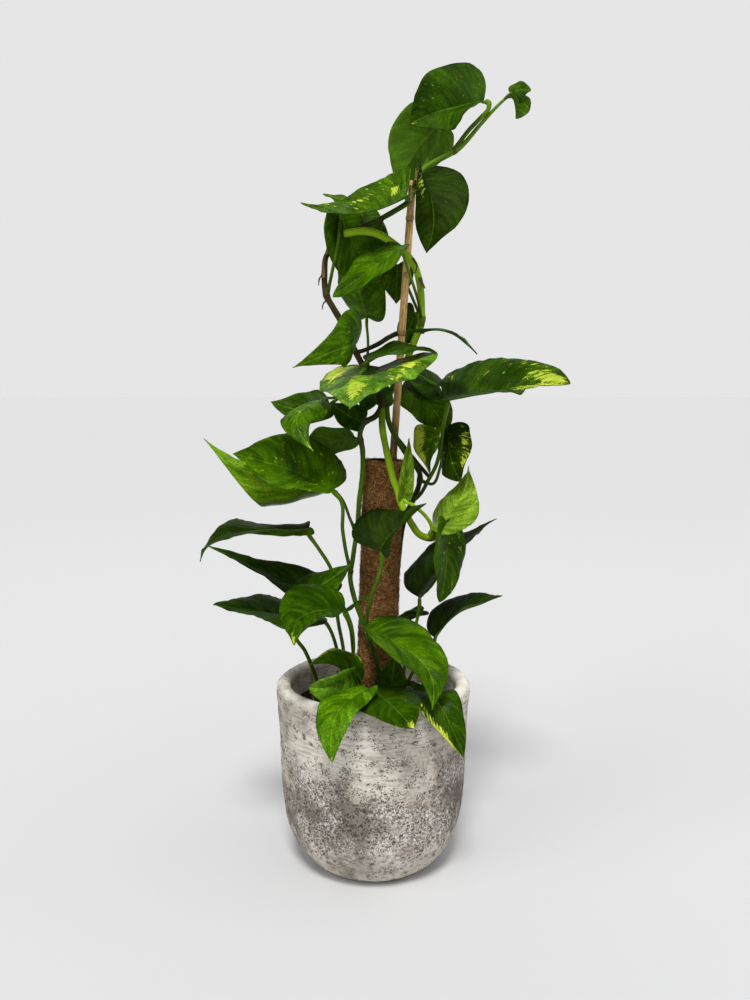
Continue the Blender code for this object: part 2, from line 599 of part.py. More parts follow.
def build_cane(collection):
    """The cane, with a raised ring at each knot."""
    bamboo = new_material("bamboo", (0.52, 0.30, 0.17), 0.5)
    foot, top = Vector(CANE_FOOT), Vector(CANE_TOP)
    length = (top - foot).length
    profile = [(0.0, length), (CANE_RADIUS * 0.8, length), (CANE_RADIUS, length - 0.001)]
    for height in sorted(CANE_KNOTS, reverse=True):
        along = length * (height - CANE_FOOT[2]) / (CANE_TOP[2] - CANE_FOOT[2])
        profile += [
            (CANE_RADIUS, along + KNOT_REACH),
            (CANE_RADIUS + KNOT_RISE, along + KNOT_REACH * 0.3),
            (CANE_RADIUS + KNOT_RISE, along - KNOT_REACH * 0.3),
            (CANE_RADIUS, along - KNOT_REACH),
        ]
    profile += [(CANE_RADIUS, 0.0), (0.0, 0.0)]
    cane = turned("cane", profile, CANE_STEPS, False, collection, bamboo)
    cane.location = foot
    cane.rotation_mode = "QUATERNION"
    cane.rotation_quaternion = (top - foot).to_track_quat("Z", "Y")


def tube(name, points, radii, resolution, collection):
    """A closed round tube through the points, all in mm, with its radii spread along it."""
    curve = bpy.data.curves.new(name, "CURVE")
    curve.dimensions = "3D"
    curve.fill_mode = "FULL"
    curve.bevel_depth = MM
    curve.bevel_resolution = resolution
    curve.use_fill_caps = True
    spline = curve.splines.new("POLY")
    spline.points.add(len(points) - 1)
    thickness = np.interp(np.linspace(0.0, 1.0, len(points)), np.linspace(0.0, 1.0, len(radii)), radii)
    for point, place, radius in zip(spline.points, points, thickness):
        point.co = (*(place * MM), 1.0)
        point.radius = radius
    guide = bpy.data.objects.new(name + "_guide", curve)
    collection.objects.link(guide)
    evaluated = guide.evaluated_get(bpy.context.evaluated_depsgraph_get())
    mesh = bpy.data.meshes.new_from_object(evaluated)
    place = guide.matrix_world.copy()
    bpy.data.objects.remove(guide)
    weld(mesh)
    obj = new_object(name, mesh, collection)
    obj.matrix_world = place
    return obj


def weld(mesh):
    """Joins the caps to the tube, faces outward, in triangles."""
    shape = bmesh.new()
    shape.from_mesh(mesh)
    bmesh.ops.remove_doubles(shape, verts=shape.verts, dist=0.000001)
    bmesh.ops.triangulate(shape, faces=shape.faces)
    bmesh.ops.recalc_face_normals(shape, faces=shape.faces)
    shape.to_mesh(mesh)
    shape.free()


def blade(leaf, collection):
    """A leaf's blade: its surface in triangles, thickened to both sides."""
    length = blade_axes(leaf)[0]
    rows = int(np.clip(round(length / BLADE_ROW_LENGTH) + 2, BLADE_FEWEST_ROWS, BLADE_MOST_ROWS))
    grid = blade_surface(leaf, rows, BLADE_COLUMNS) * MM
    mesh = bpy.data.meshes.new(leaf.name)
    shape = bmesh.new()
    base = shape.verts.new(grid[0, 0])
    rows = [[shape.verts.new(point) for point in row] for row in grid[1:-1]]
    tip = shape.verts.new(grid[-1, 0])
    for right, left in zip(rows[0], rows[0][1:]):
        shape.faces.new((base, right, left))
    for row, ahead in zip(rows, rows[1:]):
        for column in range(2 * BLADE_COLUMNS):
            corners = (row[column], ahead[column], ahead[column + 1], row[column + 1])
            if column < BLADE_COLUMNS:
                shape.faces.new((corners[0], corners[1], corners[2]))
                shape.faces.new((corners[0], corners[2], corners[3]))
            else:
                shape.faces.new((corners[0], corners[1], corners[3]))
                shape.faces.new((corners[1], corners[2], corners[3]))
    for right, left in zip(rows[-1], rows[-1][1:]):
        shape.faces.new((right, tip, left))
    shape.to_mesh(mesh)
    shape.free()
    obj = new_object(leaf.name, mesh, collection)
    thick = obj.modifiers.new("thickness", "SOLIDIFY")
    thick.thickness = BLADE_THICKNESS
    thick.offset = 0.0
    return obj


def lengthened(points, extra):
    """The points with both ends moved outward by the extra length."""
    first = points[0] + extra * unit(points[0] - points[1])
    last = points[-1] + extra * unit(points[-1] - points[-2])
    return np.vstack([first, points[1:-1], last])


def keep_main_body(mesh, name):
    """Drops scraps and the walls of sealed hollows, and stops if a leaf isn't joined."""
    shape = bmesh.new()
    shape.from_mesh(mesh)
    bmesh.ops.triangulate(shape, faces=shape.faces)
    left = set(shape.faces)
    bodies = []
    while left:
        body = [left.pop()]
        for face in body:
            for edge in face.edges:
                for other in edge.link_faces:
                    if other in left:
                        left.remove(other)
                        body.append(other)
        bodies.append(body)
    bodies.sort(key=len, reverse=True)
    for body in bodies[1:]:
        if len(body) > SCRAP_FACES:
            raise ValueError(f"{name}: a body of {len(body)} faces isn't joined to the rest")
        bmesh.ops.delete(shape, geom=body, context="FACES")
    shape.to_mesh(mesh)
    shape.free()


def build_spray(name, stems, leaves, collection, material):
    """One leafy node: every stem, stalk and blade joined in one body."""
    pieces = new_collection(name + "_pieces")
    first = None
    for stem in stems:
        points = lengthened(smooth_path(stem.points, STEM_STEP), STEM_OVERLAP)
        piece = tube(stem.name, points, stem.radius, STEM_RESOLUTION, pieces)
        first = first or piece
    for leaf in leaves:
        points = smooth_path(stalk_points(leaf), STALK_STEP)
        tube(leaf.name + "_stalk", points, (leaf.stalk_radius,), STALK_RESOLUTION, pieces)
        blade(leaf, pieces)
    pieces.objects.unlink(first)
    bpy.context.scene.collection.objects.link(first)
    join = first.modifiers.new("join", "BOOLEAN")
    join.operation = "UNION"
    join.operand_type = "COLLECTION"
    join.collection = pieces
    join.solver = JOIN_SOLVER
    evaluated = first.evaluated_get(bpy.context.evaluated_depsgraph_get())
    mesh = bpy.data.meshes.new_from_object(evaluated)
    mesh.name = name
    keep_main_body(mesh, name)
    for obj in [first, *pieces.objects]:
        bpy.data.objects.remove(obj)
    bpy.data.collections.remove(pieces)
    new_object(name, mesh, collection, material)


def main():
    """Clears the scene and builds every piece of the plant."""
    for obj in list(bpy.data.objects):
        bpy.data.objects.remove(obj, do_unlink=True)
    plant = new_collection("potted_pothos")
    cutters = new_collection("cutters")
    build_pot(plant)
    build_soil(plant, cutters)
    build_pole(plant)
    build_cane(plant)
    leaf_green = new_material("leaf_green", (0.10, 0.24, 0.05), 0.45)
    for name, stems, leaves in SPRAYS:
        build_spray(name, stems, leaves, plant, leaf_green)


main()
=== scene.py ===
import logging
import math
from dataclasses import dataclass
from enum import Enum

import bpy
import numpy as np
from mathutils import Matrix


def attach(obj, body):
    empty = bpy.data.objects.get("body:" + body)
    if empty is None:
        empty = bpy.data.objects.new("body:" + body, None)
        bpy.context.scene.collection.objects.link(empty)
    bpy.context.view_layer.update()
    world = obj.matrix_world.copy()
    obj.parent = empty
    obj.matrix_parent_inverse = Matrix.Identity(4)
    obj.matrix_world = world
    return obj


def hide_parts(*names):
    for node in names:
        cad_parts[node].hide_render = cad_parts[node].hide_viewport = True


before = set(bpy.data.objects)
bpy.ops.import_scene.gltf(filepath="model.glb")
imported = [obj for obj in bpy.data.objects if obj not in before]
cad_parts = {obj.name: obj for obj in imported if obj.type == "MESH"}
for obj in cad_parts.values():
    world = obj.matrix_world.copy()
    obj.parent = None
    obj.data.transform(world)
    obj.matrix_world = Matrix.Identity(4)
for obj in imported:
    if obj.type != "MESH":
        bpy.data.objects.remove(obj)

LOG = logging.getLogger("potted_pothos")
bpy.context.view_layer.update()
MM = 0.001

Triple = tuple[float, float, float]
Socket = bpy.types.NodeSocket


def srgb(red: float, green: float, blue: float) -> Triple:
    """The linear colour of a display colour, which is given in parts of 255.

    Args:
        red: the red part.
        green: the green part.
        blue: the blue part.

    Returns:
        The three linear parts from 0 to 1.
    """
    shown = np.array([red, green, blue]) / 255.0
    linear = np.where(shown <= 0.04045, shown / 12.92, ((shown + 0.055) / 1.055) ** 2.4)
    return tuple(float(value) for value in linear)


class Green(Enum):
    """The greens of the blades, from the shaded old ones to the freshly opened ones. One lighter green is
    painted light, for a blade that faces down into shade.
    """

    DEEP = srgb(32, 54, 2)
    DARK = srgb(44, 76, 2)
    MID = srgb(60, 98, 3)
    BRIGHT = srgb(80, 126, 14)
    PALE = srgb(84, 128, 34)
    # Painted light: a lighter green that makes a blade facing down, away from the lamps, look lit.
    LIGHT = srgb(104, 150, 26)
    FRESH = srgb(112, 148, 46)


class Bark(Enum):
    """The colours of stems and stalks, from young green to old brown."""

    LIME = srgb(144, 184, 22)
    GREEN = srgb(88, 128, 4)
    MOSS = srgb(54, 82, 1)
    DUSK = srgb(38, 46, 6)
    CORK = srgb(66, 54, 30)


@dataclass(frozen=True)
class Stem:
    """A round stem through points (mm). Its radii (mm) are spread along it."""

    name: str
    points: tuple
    radius: tuple


@dataclass(frozen=True)
class Leaf:
    """A heart-shaped blade on its stalk. Places are in mm, angles in degrees.

    base is where the stalk meets the blade and tip is its point. face is the way that its
    upper side looks. arch is the rise of the midrib, bow its sideways bend to the left, and
    droop the drop of both margins, each as a share of the blade's length. fold raises the
    left and the right half, twist turns the blade about its midrib, and hook moves the
    height of the arch toward the tip. lobe is the size of the rounded lobes behind the
    stalk, and taper how far back the blade is widest. stalk lists the stalk's points from
    the stem to the blade.
    """

    name: str
    base: tuple
    tip: tuple
    face: tuple
    width: float
    stalk: tuple
    arch: float = 0.08
    bow: float = 0.0
    droop: float = 0.06
    fold: tuple = (8, 8)
    twist: float = 0.0
    hook: float = 0.0
    wave: float = 1.5
    lobe: float = 0.22
    taper: float = 1.1
    stalk_radius: float = 1.3


MAIN_STEMS = (
    Stem(
        "main",
        (
            (8, -26, 118), (8, -26, 146), (7, -24, 165), (4, -22, 183), (-3, -20, 205),
            (-11, -18, 226), (-17, -14, 243), (-20, -8, 259), (-18, -6, 272), (-16, -6, 286),
            (-14, -6, 299), (-12, -8, 325), (-9, -11, 350), (-9, -13, 368), (-11, -14, 383),
            (-8, -15, 391), (2, -12, 397), (7, -8, 406), (5, -3, 417), (-1, 0, 427), (-9, 0, 440),
            (-20, 0, 461), (-28, 0, 478), (-34, -2, 488), (-39, -2, 497), (-41, 0, 508),
            (-41, 0, 519), (-40, 0, 529), (-35, 0, 538), (-30, 0, 545), (-21, 0, 550),
            (-3, 0, 557), (18, -3, 567), (29, -5, 574), (34, -3, 583), (36, -2, 593),
            (43, 0, 602), (55, 0, 609), (70, 0, 617), (88, 0, 636), (100, 0, 649), (114, 0, 662),
        ),
        (2.6, 2.3, 2.1, 2.2, 2.8, 2.7, 2.1, 2.4, 1.0),
    ),
    Stem(
        "second",
        (
            (-24, -1, 549), (-7, -6, 550), (4, -10, 547), (14, -12, 541), (22, -12, 535),
            (29, -10, 529), (34, -6, 523), (38, 0, 514), (41, 5, 495), (41, 8, 477),
            (34, 12, 457), (27, 15, 440), (18, 16, 423), (12, 12, 407), (13, 3, 393),
            (21, -3, 376), (30, 0, 362), (37, 6, 353), (41, 12, 345), (40, 16, 334),
            (35, 22, 321), (28, 30, 302), (23, 36, 264), (19, 36, 208), (17, 34, 165),
            (17, 34, 146), (17, 34, 118),
        ),
        (3.3, 3.0, 3.0, 2.4, 2.4, 2.5, 2.6, 2.6),
    ),
    Stem("second_side", ((21, -3, 377), (34, 4, 361), (50, 14, 342)), (2.0, 1.6)),
    Stem(
        "fresh_shoot",
        (
            (7, -9, 403), (8, -16, 385), (11, -20, 369), (14, -22, 356), (17, -24, 344),
            (21, -26, 334), (24, -28, 323), (28, -28, 315), (33, -28, 306), (39, -26, 298),
            (46, -24, 295), (54, -24, 297), (61, -24, 301),
        ),
        (2.9, 3.0),
    ),
    Stem(
        "cut_stub",
        (
            (-32, -12, 459), (-24, -8, 452), (-14, -2, 451), (3, -3, 457), (14, 6, 464),
            (23, 14, 468), (33, 13, 469), (38, 10, 468),
        ),
        (1.6, 2.4),
    ),
)

MAIN_LEAVES = (
    Leaf("crown", (91, 0, 655), (30, -4, 636), (-2, -8, 6), 74,
         ((67, 0, 616), (79, -1, 632), (89, -2, 642), (95, -2, 649), (95, -1, 654)),
         arch=-0.04, bow=-0.13, fold=(10, 40), twist=-50, lobe=0.04, taper=0.7, droop=0.0, stalk_radius=1.8),
    Leaf("bud_upper", (114, 0, 661), (129, -5, 662), (0, -9, 2), 15, ((111, 0, 659),),
         bow=0.1, fold=(5, 5), lobe=0.12, taper=0.5, stalk_radius=0.9),
    Leaf("bud_lower", (115, -1, 659), (117, -8, 639), (3, -8, 2), 29, ((111, 0, 659),),
         arch=0.03, bow=0.05, fold=(8, 66), lobe=0.12, taper=0.6, stalk_radius=0.9),
    Leaf("crown_back", (57, 22, 645), (20, 14, 590), (-6, 8, 1), 60,
         ((38, -2, 597), (48, 10, 615), (56, 19, 636)),
         arch=0.12, fold=(15, 15), twist=-10, lobe=0.08, taper=0.9, droop=0.0),
    Leaf("crown_right", (39, -9, 594), (43, -29, 529), (4, -9, 3), 65, ((34, -3, 586), (37, -7, 591)),
         arch=0.05, bow=0.11, fold=(39, 31), twist=76, lobe=0.13, taper=0.8, droop=0.01),
    Leaf("flag", (27, -18, 576), (-60, -6, 573), (-2, -9, 4), 60, ((30, -5, 575),),
         arch=-0.05, bow=0.12, fold=(55, -5), lobe=0.22, taper=1.8, droop=0.0, stalk_radius=1.6),
    Leaf("upper_small", (-13, 26, 574), (-44, 32, 588), (0, -5, 7), 22, ((-7, 0, 556), (-10, 14, 567)),
         arch=0.05, bow=0.01, fold=(9, 2), twist=2, taper=1.2, stalk_radius=1.0),
    Leaf("upper_left", (-28, 8, 567), (6, 22, 512), (4, -9, 0), 66,
         ((-39, -2, 498), (-34, -6, 519), (-29, -7, 543), (-28, -1, 560)),
         arch=0.02, bow=-0.06, fold=(18, 15), twist=60, lobe=0.12, taper=0.5, droop=0.0, stalk_radius=1.5),
    Leaf("upper_hanging", (-6, 41, 484), (-21, 59, 556), (-3, -7, 0), 46,
         ((-8, 0, 438), (-5, 17, 450), (-5, 32, 466), (-6, 39, 477)),
         arch=0.19, bow=-0.05, fold=(1, 1), twist=41, hook=-0.3, lobe=0.13, taper=0.6, droop=0.09),
    Leaf("upper_tucked", (21, 16, 526), (20, 20, 493), (-2, -9, 1), 30,
         ((41, 8, 480), (37, 14, 490), (28, 18, 511))),
    Leaf("loop_leaf", (23, -28, 535), (-33, -30, 494), (-5, -6, 7), 50,
         ((41, 7, 479), (37, -11, 494), (30, -24, 512), (25, -27, 526)),
         arch=0.02, bow=0.06, twist=-20, lobe=0.05, taper=0.7, droop=0.0),
    Leaf("left_striped", (-15, -14, 456), (-63, -66, 436), (9, -5, -2), 47,
         ((-27, 0, 476), (-20, -10, 465)),
         arch=0.33, bow=-0.19, fold=(26, -5), twist=44, hook=0.2, lobe=0.03, taper=1.3, droop=0.17),
    Leaf("thin_right", (41, -12, 467), (86, -24, 448), (1, -1, 9), 39, ((40, 9, 474),),
         arch=0.16, bow=-0.04, fold=(4, 13), twist=-12, hook=-0.3, droop=0.05),
    Leaf("behind_cane", (36, 18, 486), (24, 16, 456), (3, -9, -1), 24, ((41, 8, 478),),
         arch=0.12, bow=-0.02, fold=(1, 9), twist=34, hook=-0.2, taper=0.6, droop=0.1, stalk_radius=1.0),
    Leaf("centre_large", (5, -18, 438), (-18, -104, 405), (-2, -3, 9), 102, ((2, -2, 421), (6, -12, 429)),
         arch=0.0, fold=(10, 5), lobe=0.24, taper=1.8, droop=0.08, stalk_radius=1.6),
    Leaf("centre_dark", (-6, -20, 443), (53, -26, 449), (-1, -3, 10), 44, ((-1, 0, 428), (-4, -12, 437)),
         arch=0.1, fold=(13, 13), lobe=0.1),
    Leaf("right_long", (63, -2, 410), (159, -44, 424), (-3, -3, 9), 98,
         ((35, 22, 321), (41, 14, 327), (48, 5, 341), (54, -2, 354), (58, -6, 372), (60, -5, 389)),
         arch=-0.04, bow=0.18, fold=(20, 15), twist=20, hook=0.6, lobe=0.08, droop=0.0, stalk_radius=1.7),
    Leaf("right_back_high", (59, 34, 422), (20, 38, 435), (1, -6, 7), 42, ((27, 15, 440), (45, 27, 429)),
         bow=0.01, fold=(8, -7), twist=-10, droop=0.07),
    Leaf("right_back_low", (26, 32, 422), (64, 16, 384), (3, -7, 7), 50, ((20, 16, 427),),
         arch=0.05, bow=0.08, fold=(5, 5), twist=35, lobe=0.08, taper=0.4, droop=0.07),
    Leaf("right_hanging", (64, -1, 387), (73, -29, 343), (-8, -5, 2), 46,
         ((41, 14, 340), (52, 11, 337), (58, 6, 351), (61, 4, 372)),
         arch=0.05, bow=-0.04, fold=(0, 5), twist=-15, lobe=0.05, taper=0.7, droop=0.15),
    Leaf("right_folded", (54, 1, 386), (49, 1, 346), (-8, -6, 1), 40, ((60, 5, 363), (56, 5, 376)),
         fold=(25, 25), lobe=0.05, taper=1.7, droop=0.0),
    Leaf("fresh_large", (49, -31, 302), (82, -2, 354), (-4, -7, 6), 63, ((48, -24, 296),),
         arch=-0.03, bow=-0.12, fold=(-1, 3), twist=92, hook=0.2, lobe=0.05, taper=2.2, droop=0.11,
         stalk_radius=1.6),
    Leaf("fresh_curled", (25, -28, 329), (30, -24, 379), (0, -8, 1), 20,
         ((51, -24, 296), (48, -26, 308), (43, -28, 315), (32, -30, 324), (27, -29, 327)),
         fold=(60, 40), lobe=0.1, stalk_radius=1.6),
    Leaf("fresh_hanging", (60, -37, 311), (55, -45, 244), (8, -7, 0), 46,
         ((59, -24, 299), (61, -31, 302)),
         arch=0.06, fold=(15, 15), twist=16, lobe=0.1, taper=0.6, droop=0.04, stalk_radius=1.6),
    Leaf("front_large", (-6, -46, 223), (46, -96, 170), (4, -4, 8), 74, ((1, -22, 197), (-4, -36, 211)),
         arch=0.08, bow=0.2, fold=(18, 16), twist=48, hook=0.4, lobe=0.04, taper=1.4, droop=0.04,
         stalk_radius=1.5),
    Leaf("pole_front", (6, -46, 288), (44, -36, 326), (-6, -2, 8), 63,
         ((-6, -20, 212), (-4, -31, 238), (2, -37, 257), (7, -42, 275)),
         arch=0.06, bow=0.01, fold=(35, 26), twist=-49, hook=-0.4, lobe=0.11, taper=1.7, droop=0.0,
         stalk_radius=1.6),
    Leaf("left_large", (-34, -28, 336), (-113, -52, 368), (4, -7, 6), 81,
         ((-19, -8, 262), (-22, -13, 274), (-26, -19, 300), (-28, -25, 328)),
         arch=-0.03, bow=-0.07, fold=(22, 17), twist=-64, hook=-0.2, lobe=0.11, taper=1.2, droop=0.01,
         stalk_radius=1.6),
    Leaf("left_under", (-36, 11, 333), (-141, -27, 379), (4, -8, 1), 58,
         ((-16, -6, 299), (-20, 0, 307), (-28, 6, 325)),
         arch=0.23, bow=0.14, fold=(-14, -13), twist=92, lobe=0.06, taper=1.6, droop=0.17),
    Leaf("left_high", (-38, 12, 406), (-89, 10, 409), (1, -8, 5), 38,
         ((-5, 0, 433), (-20, 7, 421), (-30, 11, 412)),
         arch=-0.02, bow=0.11, fold=(16, 11), twist=-25, hook=-0.1, lobe=0.06, taper=1.0, droop=0.03),
    Leaf("left_light", (-44, -24, 410), (-47, -68, 371), (-3, -6, 8), 40,
         ((-29, 10, 413), (-36, -2, 412), (-41, -15, 412)),
         arch=0.21, bow=-0.21, fold=(3, 4), twist=-27, hook=0.1, lobe=0.05, taper=1.3, droop=0.13),
    Leaf("left_round", (-8, -1, 391), (-37, 7, 409), (0, -8, 6), 30, ((-6, -14, 392),),
         arch=0.02, bow=0.08, fold=(20, 17), lobe=0.05),
    Leaf("left_paler", (-16, 8, 378), (-62, 10, 362), (-2, 7, 6), 42, ((-10, -13, 377),),
         arch=0.12, twist=40, lobe=0.05, taper=0.5),
    Leaf("under_centre", (3, -1, 407), (-3, -4, 434), (0, -9, 2), 30, ((6, -7, 407),)),
    Leaf("pole_back", (46, 39, 216), (23, 41, 207), (0, -5, 8), 19, ((20, 36, 208), (34, 38, 216)),
         arch=0.1, bow=0.06, fold=(20, -1), twist=-13, hook=-0.1, lobe=0.21, stalk_radius=1.0),
)

LEFT_STEMS = (
    Stem("left_root", ((-24, -14, 118), (-24, -14, 146), (-25, -14, 168)), (2.6, 2.2)),
)

LEFT_LEAVES = (
    Leaf("left_arched", (-55, -24, 300), (-146, -28, 275), (-2, -2, 9), 78,
         ((-24, -14, 160), (-25, -14, 181), (-26, -14, 194), (-31, -12, 223), (-32, -12, 243),
          (-36, -14, 265), (-46, -20, 284)),
         arch=0.22, bow=0.22, fold=(24, 33), twist=-33, hook=1.0, lobe=0.08, taper=1.7, droop=0.17,
         stalk_radius=1.6),
    Leaf("left_twisted", (-36, 8, 236), (-146, -1, 285), (3, -1, 10), 52,
         ((-24, -14, 160), (-17, -7, 197), (-20, 1, 215), (-28, 5, 230)),
         arch=-0.01, bow=0.03, fold=(15, 51), twist=42, lobe=0.09, taper=1.9, droop=0.09),
    Leaf("left_low", (-45, 4, 219), (-138, -17, 235), (2, -1, 10), 76,
         ((-24, -14, 160), (-29, -8, 179), (-32, -5, 192), (-40, 0, 212)),
         arch=0.0, bow=0.02, fold=(19, 23), twist=-14, hook=0.3, lobe=0.03, taper=1.0, droop=0.13,
         stalk_radius=1.6),
    Leaf("left_front", (-23, -70, 243), (-59, -119, 229), (1, -3, 9), 60,
         ((-24, -14, 160), (-17, -19, 178), (-18, -24, 199), (-20, -52, 227)),
         arch=0.04, bow=-0.28, fold=(20, 20), twist=-22, lobe=0.05, taper=1.4, droop=0.0),
    Leaf("left_sliver", (-22, -72, 244), (-2, -77, 259), (1, -1, 8), 12, ((-22, -69, 243),),
         arch=-0.0, bow=0.01, fold=(4, 13), twist=4, stalk_radius=1.0),
)

OUTER_STEMS = (
    Stem("outer_root", ((-49, -12, 118), (-49, -12, 146), (-49, -12, 158)), (1.8, 1.7)),
)

OUTER_LEAVES = (
    Leaf("left_inner", (-62, -39, 247), (-19, -30, 273), (-1, -6, 6), 37,
         ((-49, -12, 156), (-50, -12, 167), (-54, -15, 181), (-59, -24, 197), (-65, -38, 212),
          (-67, -44, 230)),
         arch=0.05, bow=-0.07, fold=(-1, 8), twist=-1, taper=1.2, droop=0.07, stalk_radius=1.7),
)

RIGHT_STEMS = (
    Stem("right_root", ((28, -2, 118), (28, -2, 146), (28, -2, 156)), (2.0, 1.8)),
)

RIGHT_LEAVES = (
    Leaf("right_dark", (40, 10, 236), (112, 34, 303), (-6, -1, 7), 78,
         ((28, -2, 154), (27, 1, 168), (33, 6, 188), (38, 8, 211), (41, 9, 226)),
         bow=-0.02, fold=(16, 12), twist=-1, hook=-0.2, lobe=0.03, taper=1.7, droop=0.0,
         stalk_radius=1.5),
    Leaf("right_low", (55, 5, 200), (112, -11, 242), (-6, 0, 8), 57,
         ((28, -2, 154), (36, 2, 171), (49, 6, 187)),
         arch=0.09, bow=0.04, fold=(16, 18), twist=-20, hook=-0.4, lobe=0.05, droop=0.0,
         stalk_radius=1.5),
)

FRONT_LEFT_STEMS = (
    Stem("front_left_root", ((-2, -42, 118), (-2, -42, 146), (-3, -42, 152)), (2.4, 2.2)),
)

FRONT_LEFT_LEAVES = (
    Leaf("rim_left_upper", (-11, -38, 173), (-53, -59, 195), (5, -2, 8), 38,
         ((-3, -42, 150), (-6, -38, 162)),
         arch=0.16, bow=-0.08, fold=(18, 20), lobe=0.04, taper=1.3, droop=0.0),
    Leaf("rim_left_lower", (-16, -55, 187), (-51, -83, 184), (7, -8, 0), 30,
         ((-3, -42, 150), (-9, -48, 172)),
         arch=0.06, bow=0.1, fold=(12, 30), twist=18, lobe=0.05, taper=0.3, droop=0.03, stalk_radius=1.1),
    Leaf("rim_front_bright", (-4, -61, 175), (-31, -123, 139), (-1, -4, 9), 42,
         ((-3, -42, 150), (-2, -52, 164)),
         arch=0.16, bow=-0.11, fold=(30, 24), twist=-38, hook=0.2, lobe=0.04, taper=0.6, droop=0.1),
    Leaf("rim_front_dark", (-1, -50, 171), (31, -114, 162), (-1, -2, 10), 56,
         ((-3, -42, 150), (-3, -45, 161)),
         arch=0.03, fold=(13, 15), twist=24, lobe=0.04, taper=0.6, droop=0.07),
)

FRONT_RIGHT_STEMS = (
    Stem("front_right_root", ((24, -36, 118), (24, -36, 146), (24, -36, 150)), (2.2, 2.0)),
)

FRONT_RIGHT_LEAVES = (
    Leaf("rim_upright", (14, -33, 158), (19, -31, 195), (0, -9, 3), 30, ((24, -36, 148),),
         fold=(8, 10), stalk_radius=1.1),
    Leaf("rim_round", (27, -38, 159), (47, -44, 168), (0, -7, 7), 28, ((24, -36, 148),), stalk_radius=1.1),
    Leaf("rim_right", (45, -50, 168), (73, -86, 127), (2, -6, 7), 38,
         ((24, -36, 148), (35, -38, 150), (42, -44, 161)),
         arch=0.22, bow=-0.05, fold=(18, 16), hook=-0.6, lobe=0.06, taper=1.0, droop=0.05),
)


SPRAYS = (
    ("climbing_vine", MAIN_STEMS, MAIN_LEAVES),
    ("left_shoot", LEFT_STEMS, LEFT_LEAVES),
    ("left_outer_shoot", OUTER_STEMS, OUTER_LEAVES),
    ("right_shoot", RIGHT_STEMS, RIGHT_LEAVES),
    ("front_left_shoot", FRONT_LEFT_STEMS, FRONT_LEFT_LEAVES),
    ("front_right_shoot", FRONT_RIGHT_STEMS, FRONT_RIGHT_LEAVES),
)


@dataclass(frozen=True)
class LeafLook:
    """The look of one blade.

    green is its main colour, and fleck how much of it is flecked with yellow. patches are
    yellow places as (side, place along the midrib, reach across, reach along, strength).
    dull says how dull its upper side is, from 0 to 0.6.
    """

    green: Green = Green.DARK
    fleck: float = 0.12
    patches: tuple = ()
    dull: float = 0.0


LEAF_LOOKS = {
    "crown": LeafLook(Green.DARK, 0.2, ((0.2, 0.9, 0.5, 0.12, 0.5),), 0.5),
    "bud_upper": LeafLook(Green.MID),
    "bud_lower": LeafLook(Green.MID),
    "crown_back": LeafLook(Green.MID, 0.1),
    "crown_right": LeafLook(Green.DEEP, 0.08, ((-0.7, 0.45, 0.3, 0.16, 0.6),), 0.6),
    "flag": LeafLook(Green.MID, 0.28, ((-0.3, 0.3, 0.25, 0.1, 0.8), (-0.6, 0.5, 0.2, 0.12, 0.7))),
    "upper_small": LeafLook(Green.MID),
    "upper_left": LeafLook(Green.MID, 0.15),
    "upper_hanging": LeafLook(Green.MID, 0.1),
    "loop_leaf": LeafLook(Green.MID, 0.1),
    # Its pale green is partly its own and partly painted light, lifting it out of the shadow of the blade
    # above.
    "centre_large": LeafLook(
        Green.PALE, 0.34,
        ((-0.8, 0.3, 0.4, 0.22, 0.84), (-0.25, 0.55, 0.35, 0.3, 0.74), (0.6, 0.2, 0.5, 0.12, 0.84),
         (0.6, 0.45, 0.3, 0.2, 0.62)),
    ),
    "right_long": LeafLook(
        Green.DARK, 0.27,
        ((0.35, 0.76, 0.5, 0.17, 0.92), (-0.5, 0.75, 0.6, 0.22, 0.84), (0.8, 0.62, 0.3, 0.12, 0.6)),
    ),
    "right_hanging": LeafLook(Green.DEEP, 0.3, ((0.8, 0.6, 0.4, 0.4, 0.66),), 0.3),
    "right_folded": LeafLook(Green.MID, 0.3, ((-0.8, 0.5, 0.5, 0.6, 0.95),)),
    "right_back_low": LeafLook(Green.MID, 0.1),
    "fresh_large": LeafLook(Green.FRESH, 0.1),
    "fresh_curled": LeafLook(Green.FRESH, 0.15),
    "fresh_hanging": LeafLook(Green.DARK, 0.25, ((0.5, 0.3, 0.5, 0.3, 0.5),)),
    "left_striped": LeafLook(Green.MID, 0.3),
    "left_large": LeafLook(Green.MID, 0.27, ((-0.5, 0.3, 0.3, 0.2, 0.5),)),
    # Painted light: this blade faces down into shade, and its lighter green makes it look lit.
    "left_under": LeafLook(Green.LIGHT, 0.1),
    "left_light": LeafLook(Green.MID, 0.27, ((0.0, 1.0, 1.0, 0.2, 0.95),)),
    "left_paler": LeafLook(Green.MID, 0.1),
    "left_round": LeafLook(Green.DARK, 0.1),
    "left_front": LeafLook(Green.DARK, 0.15, ((0.0, 1.0, 1.0, 0.22, 1.0),)),
    "rim_front_bright": LeafLook(Green.BRIGHT, 0.12, ((0.0, 1.0, 1.0, 0.12, 0.9),)),
    "rim_front_dark": LeafLook(Green.DARK, 0.15, ((0.0, 1.0, 1.0, 0.2, 1.0),)),
    "rim_right": LeafLook(Green.DARK, 0.2, ((-1.0, 0.6, 0.4, 0.4, 0.95),)),
    "rim_left_upper": LeafLook(Green.MID, 0.2, ((-1.0, 0.5, 0.22, 0.5, 0.76),)),
    "rim_left_lower": LeafLook(Green.PALE, 0.12),
    "pole_front": LeafLook(Green.DEEP, 0.1, (), 0.6),
    "left_arched": LeafLook(Green.DEEP, 0.05),
    "left_twisted": LeafLook(Green.DEEP, 0.05),
    "left_low": LeafLook(Green.DARK, 0.05),
    "right_dark": LeafLook(Green.DEEP, 0.05),
    "right_low": LeafLook(Green.DEEP, 0.05),
    "front_large": LeafLook(Green.MID, 0.05),
}

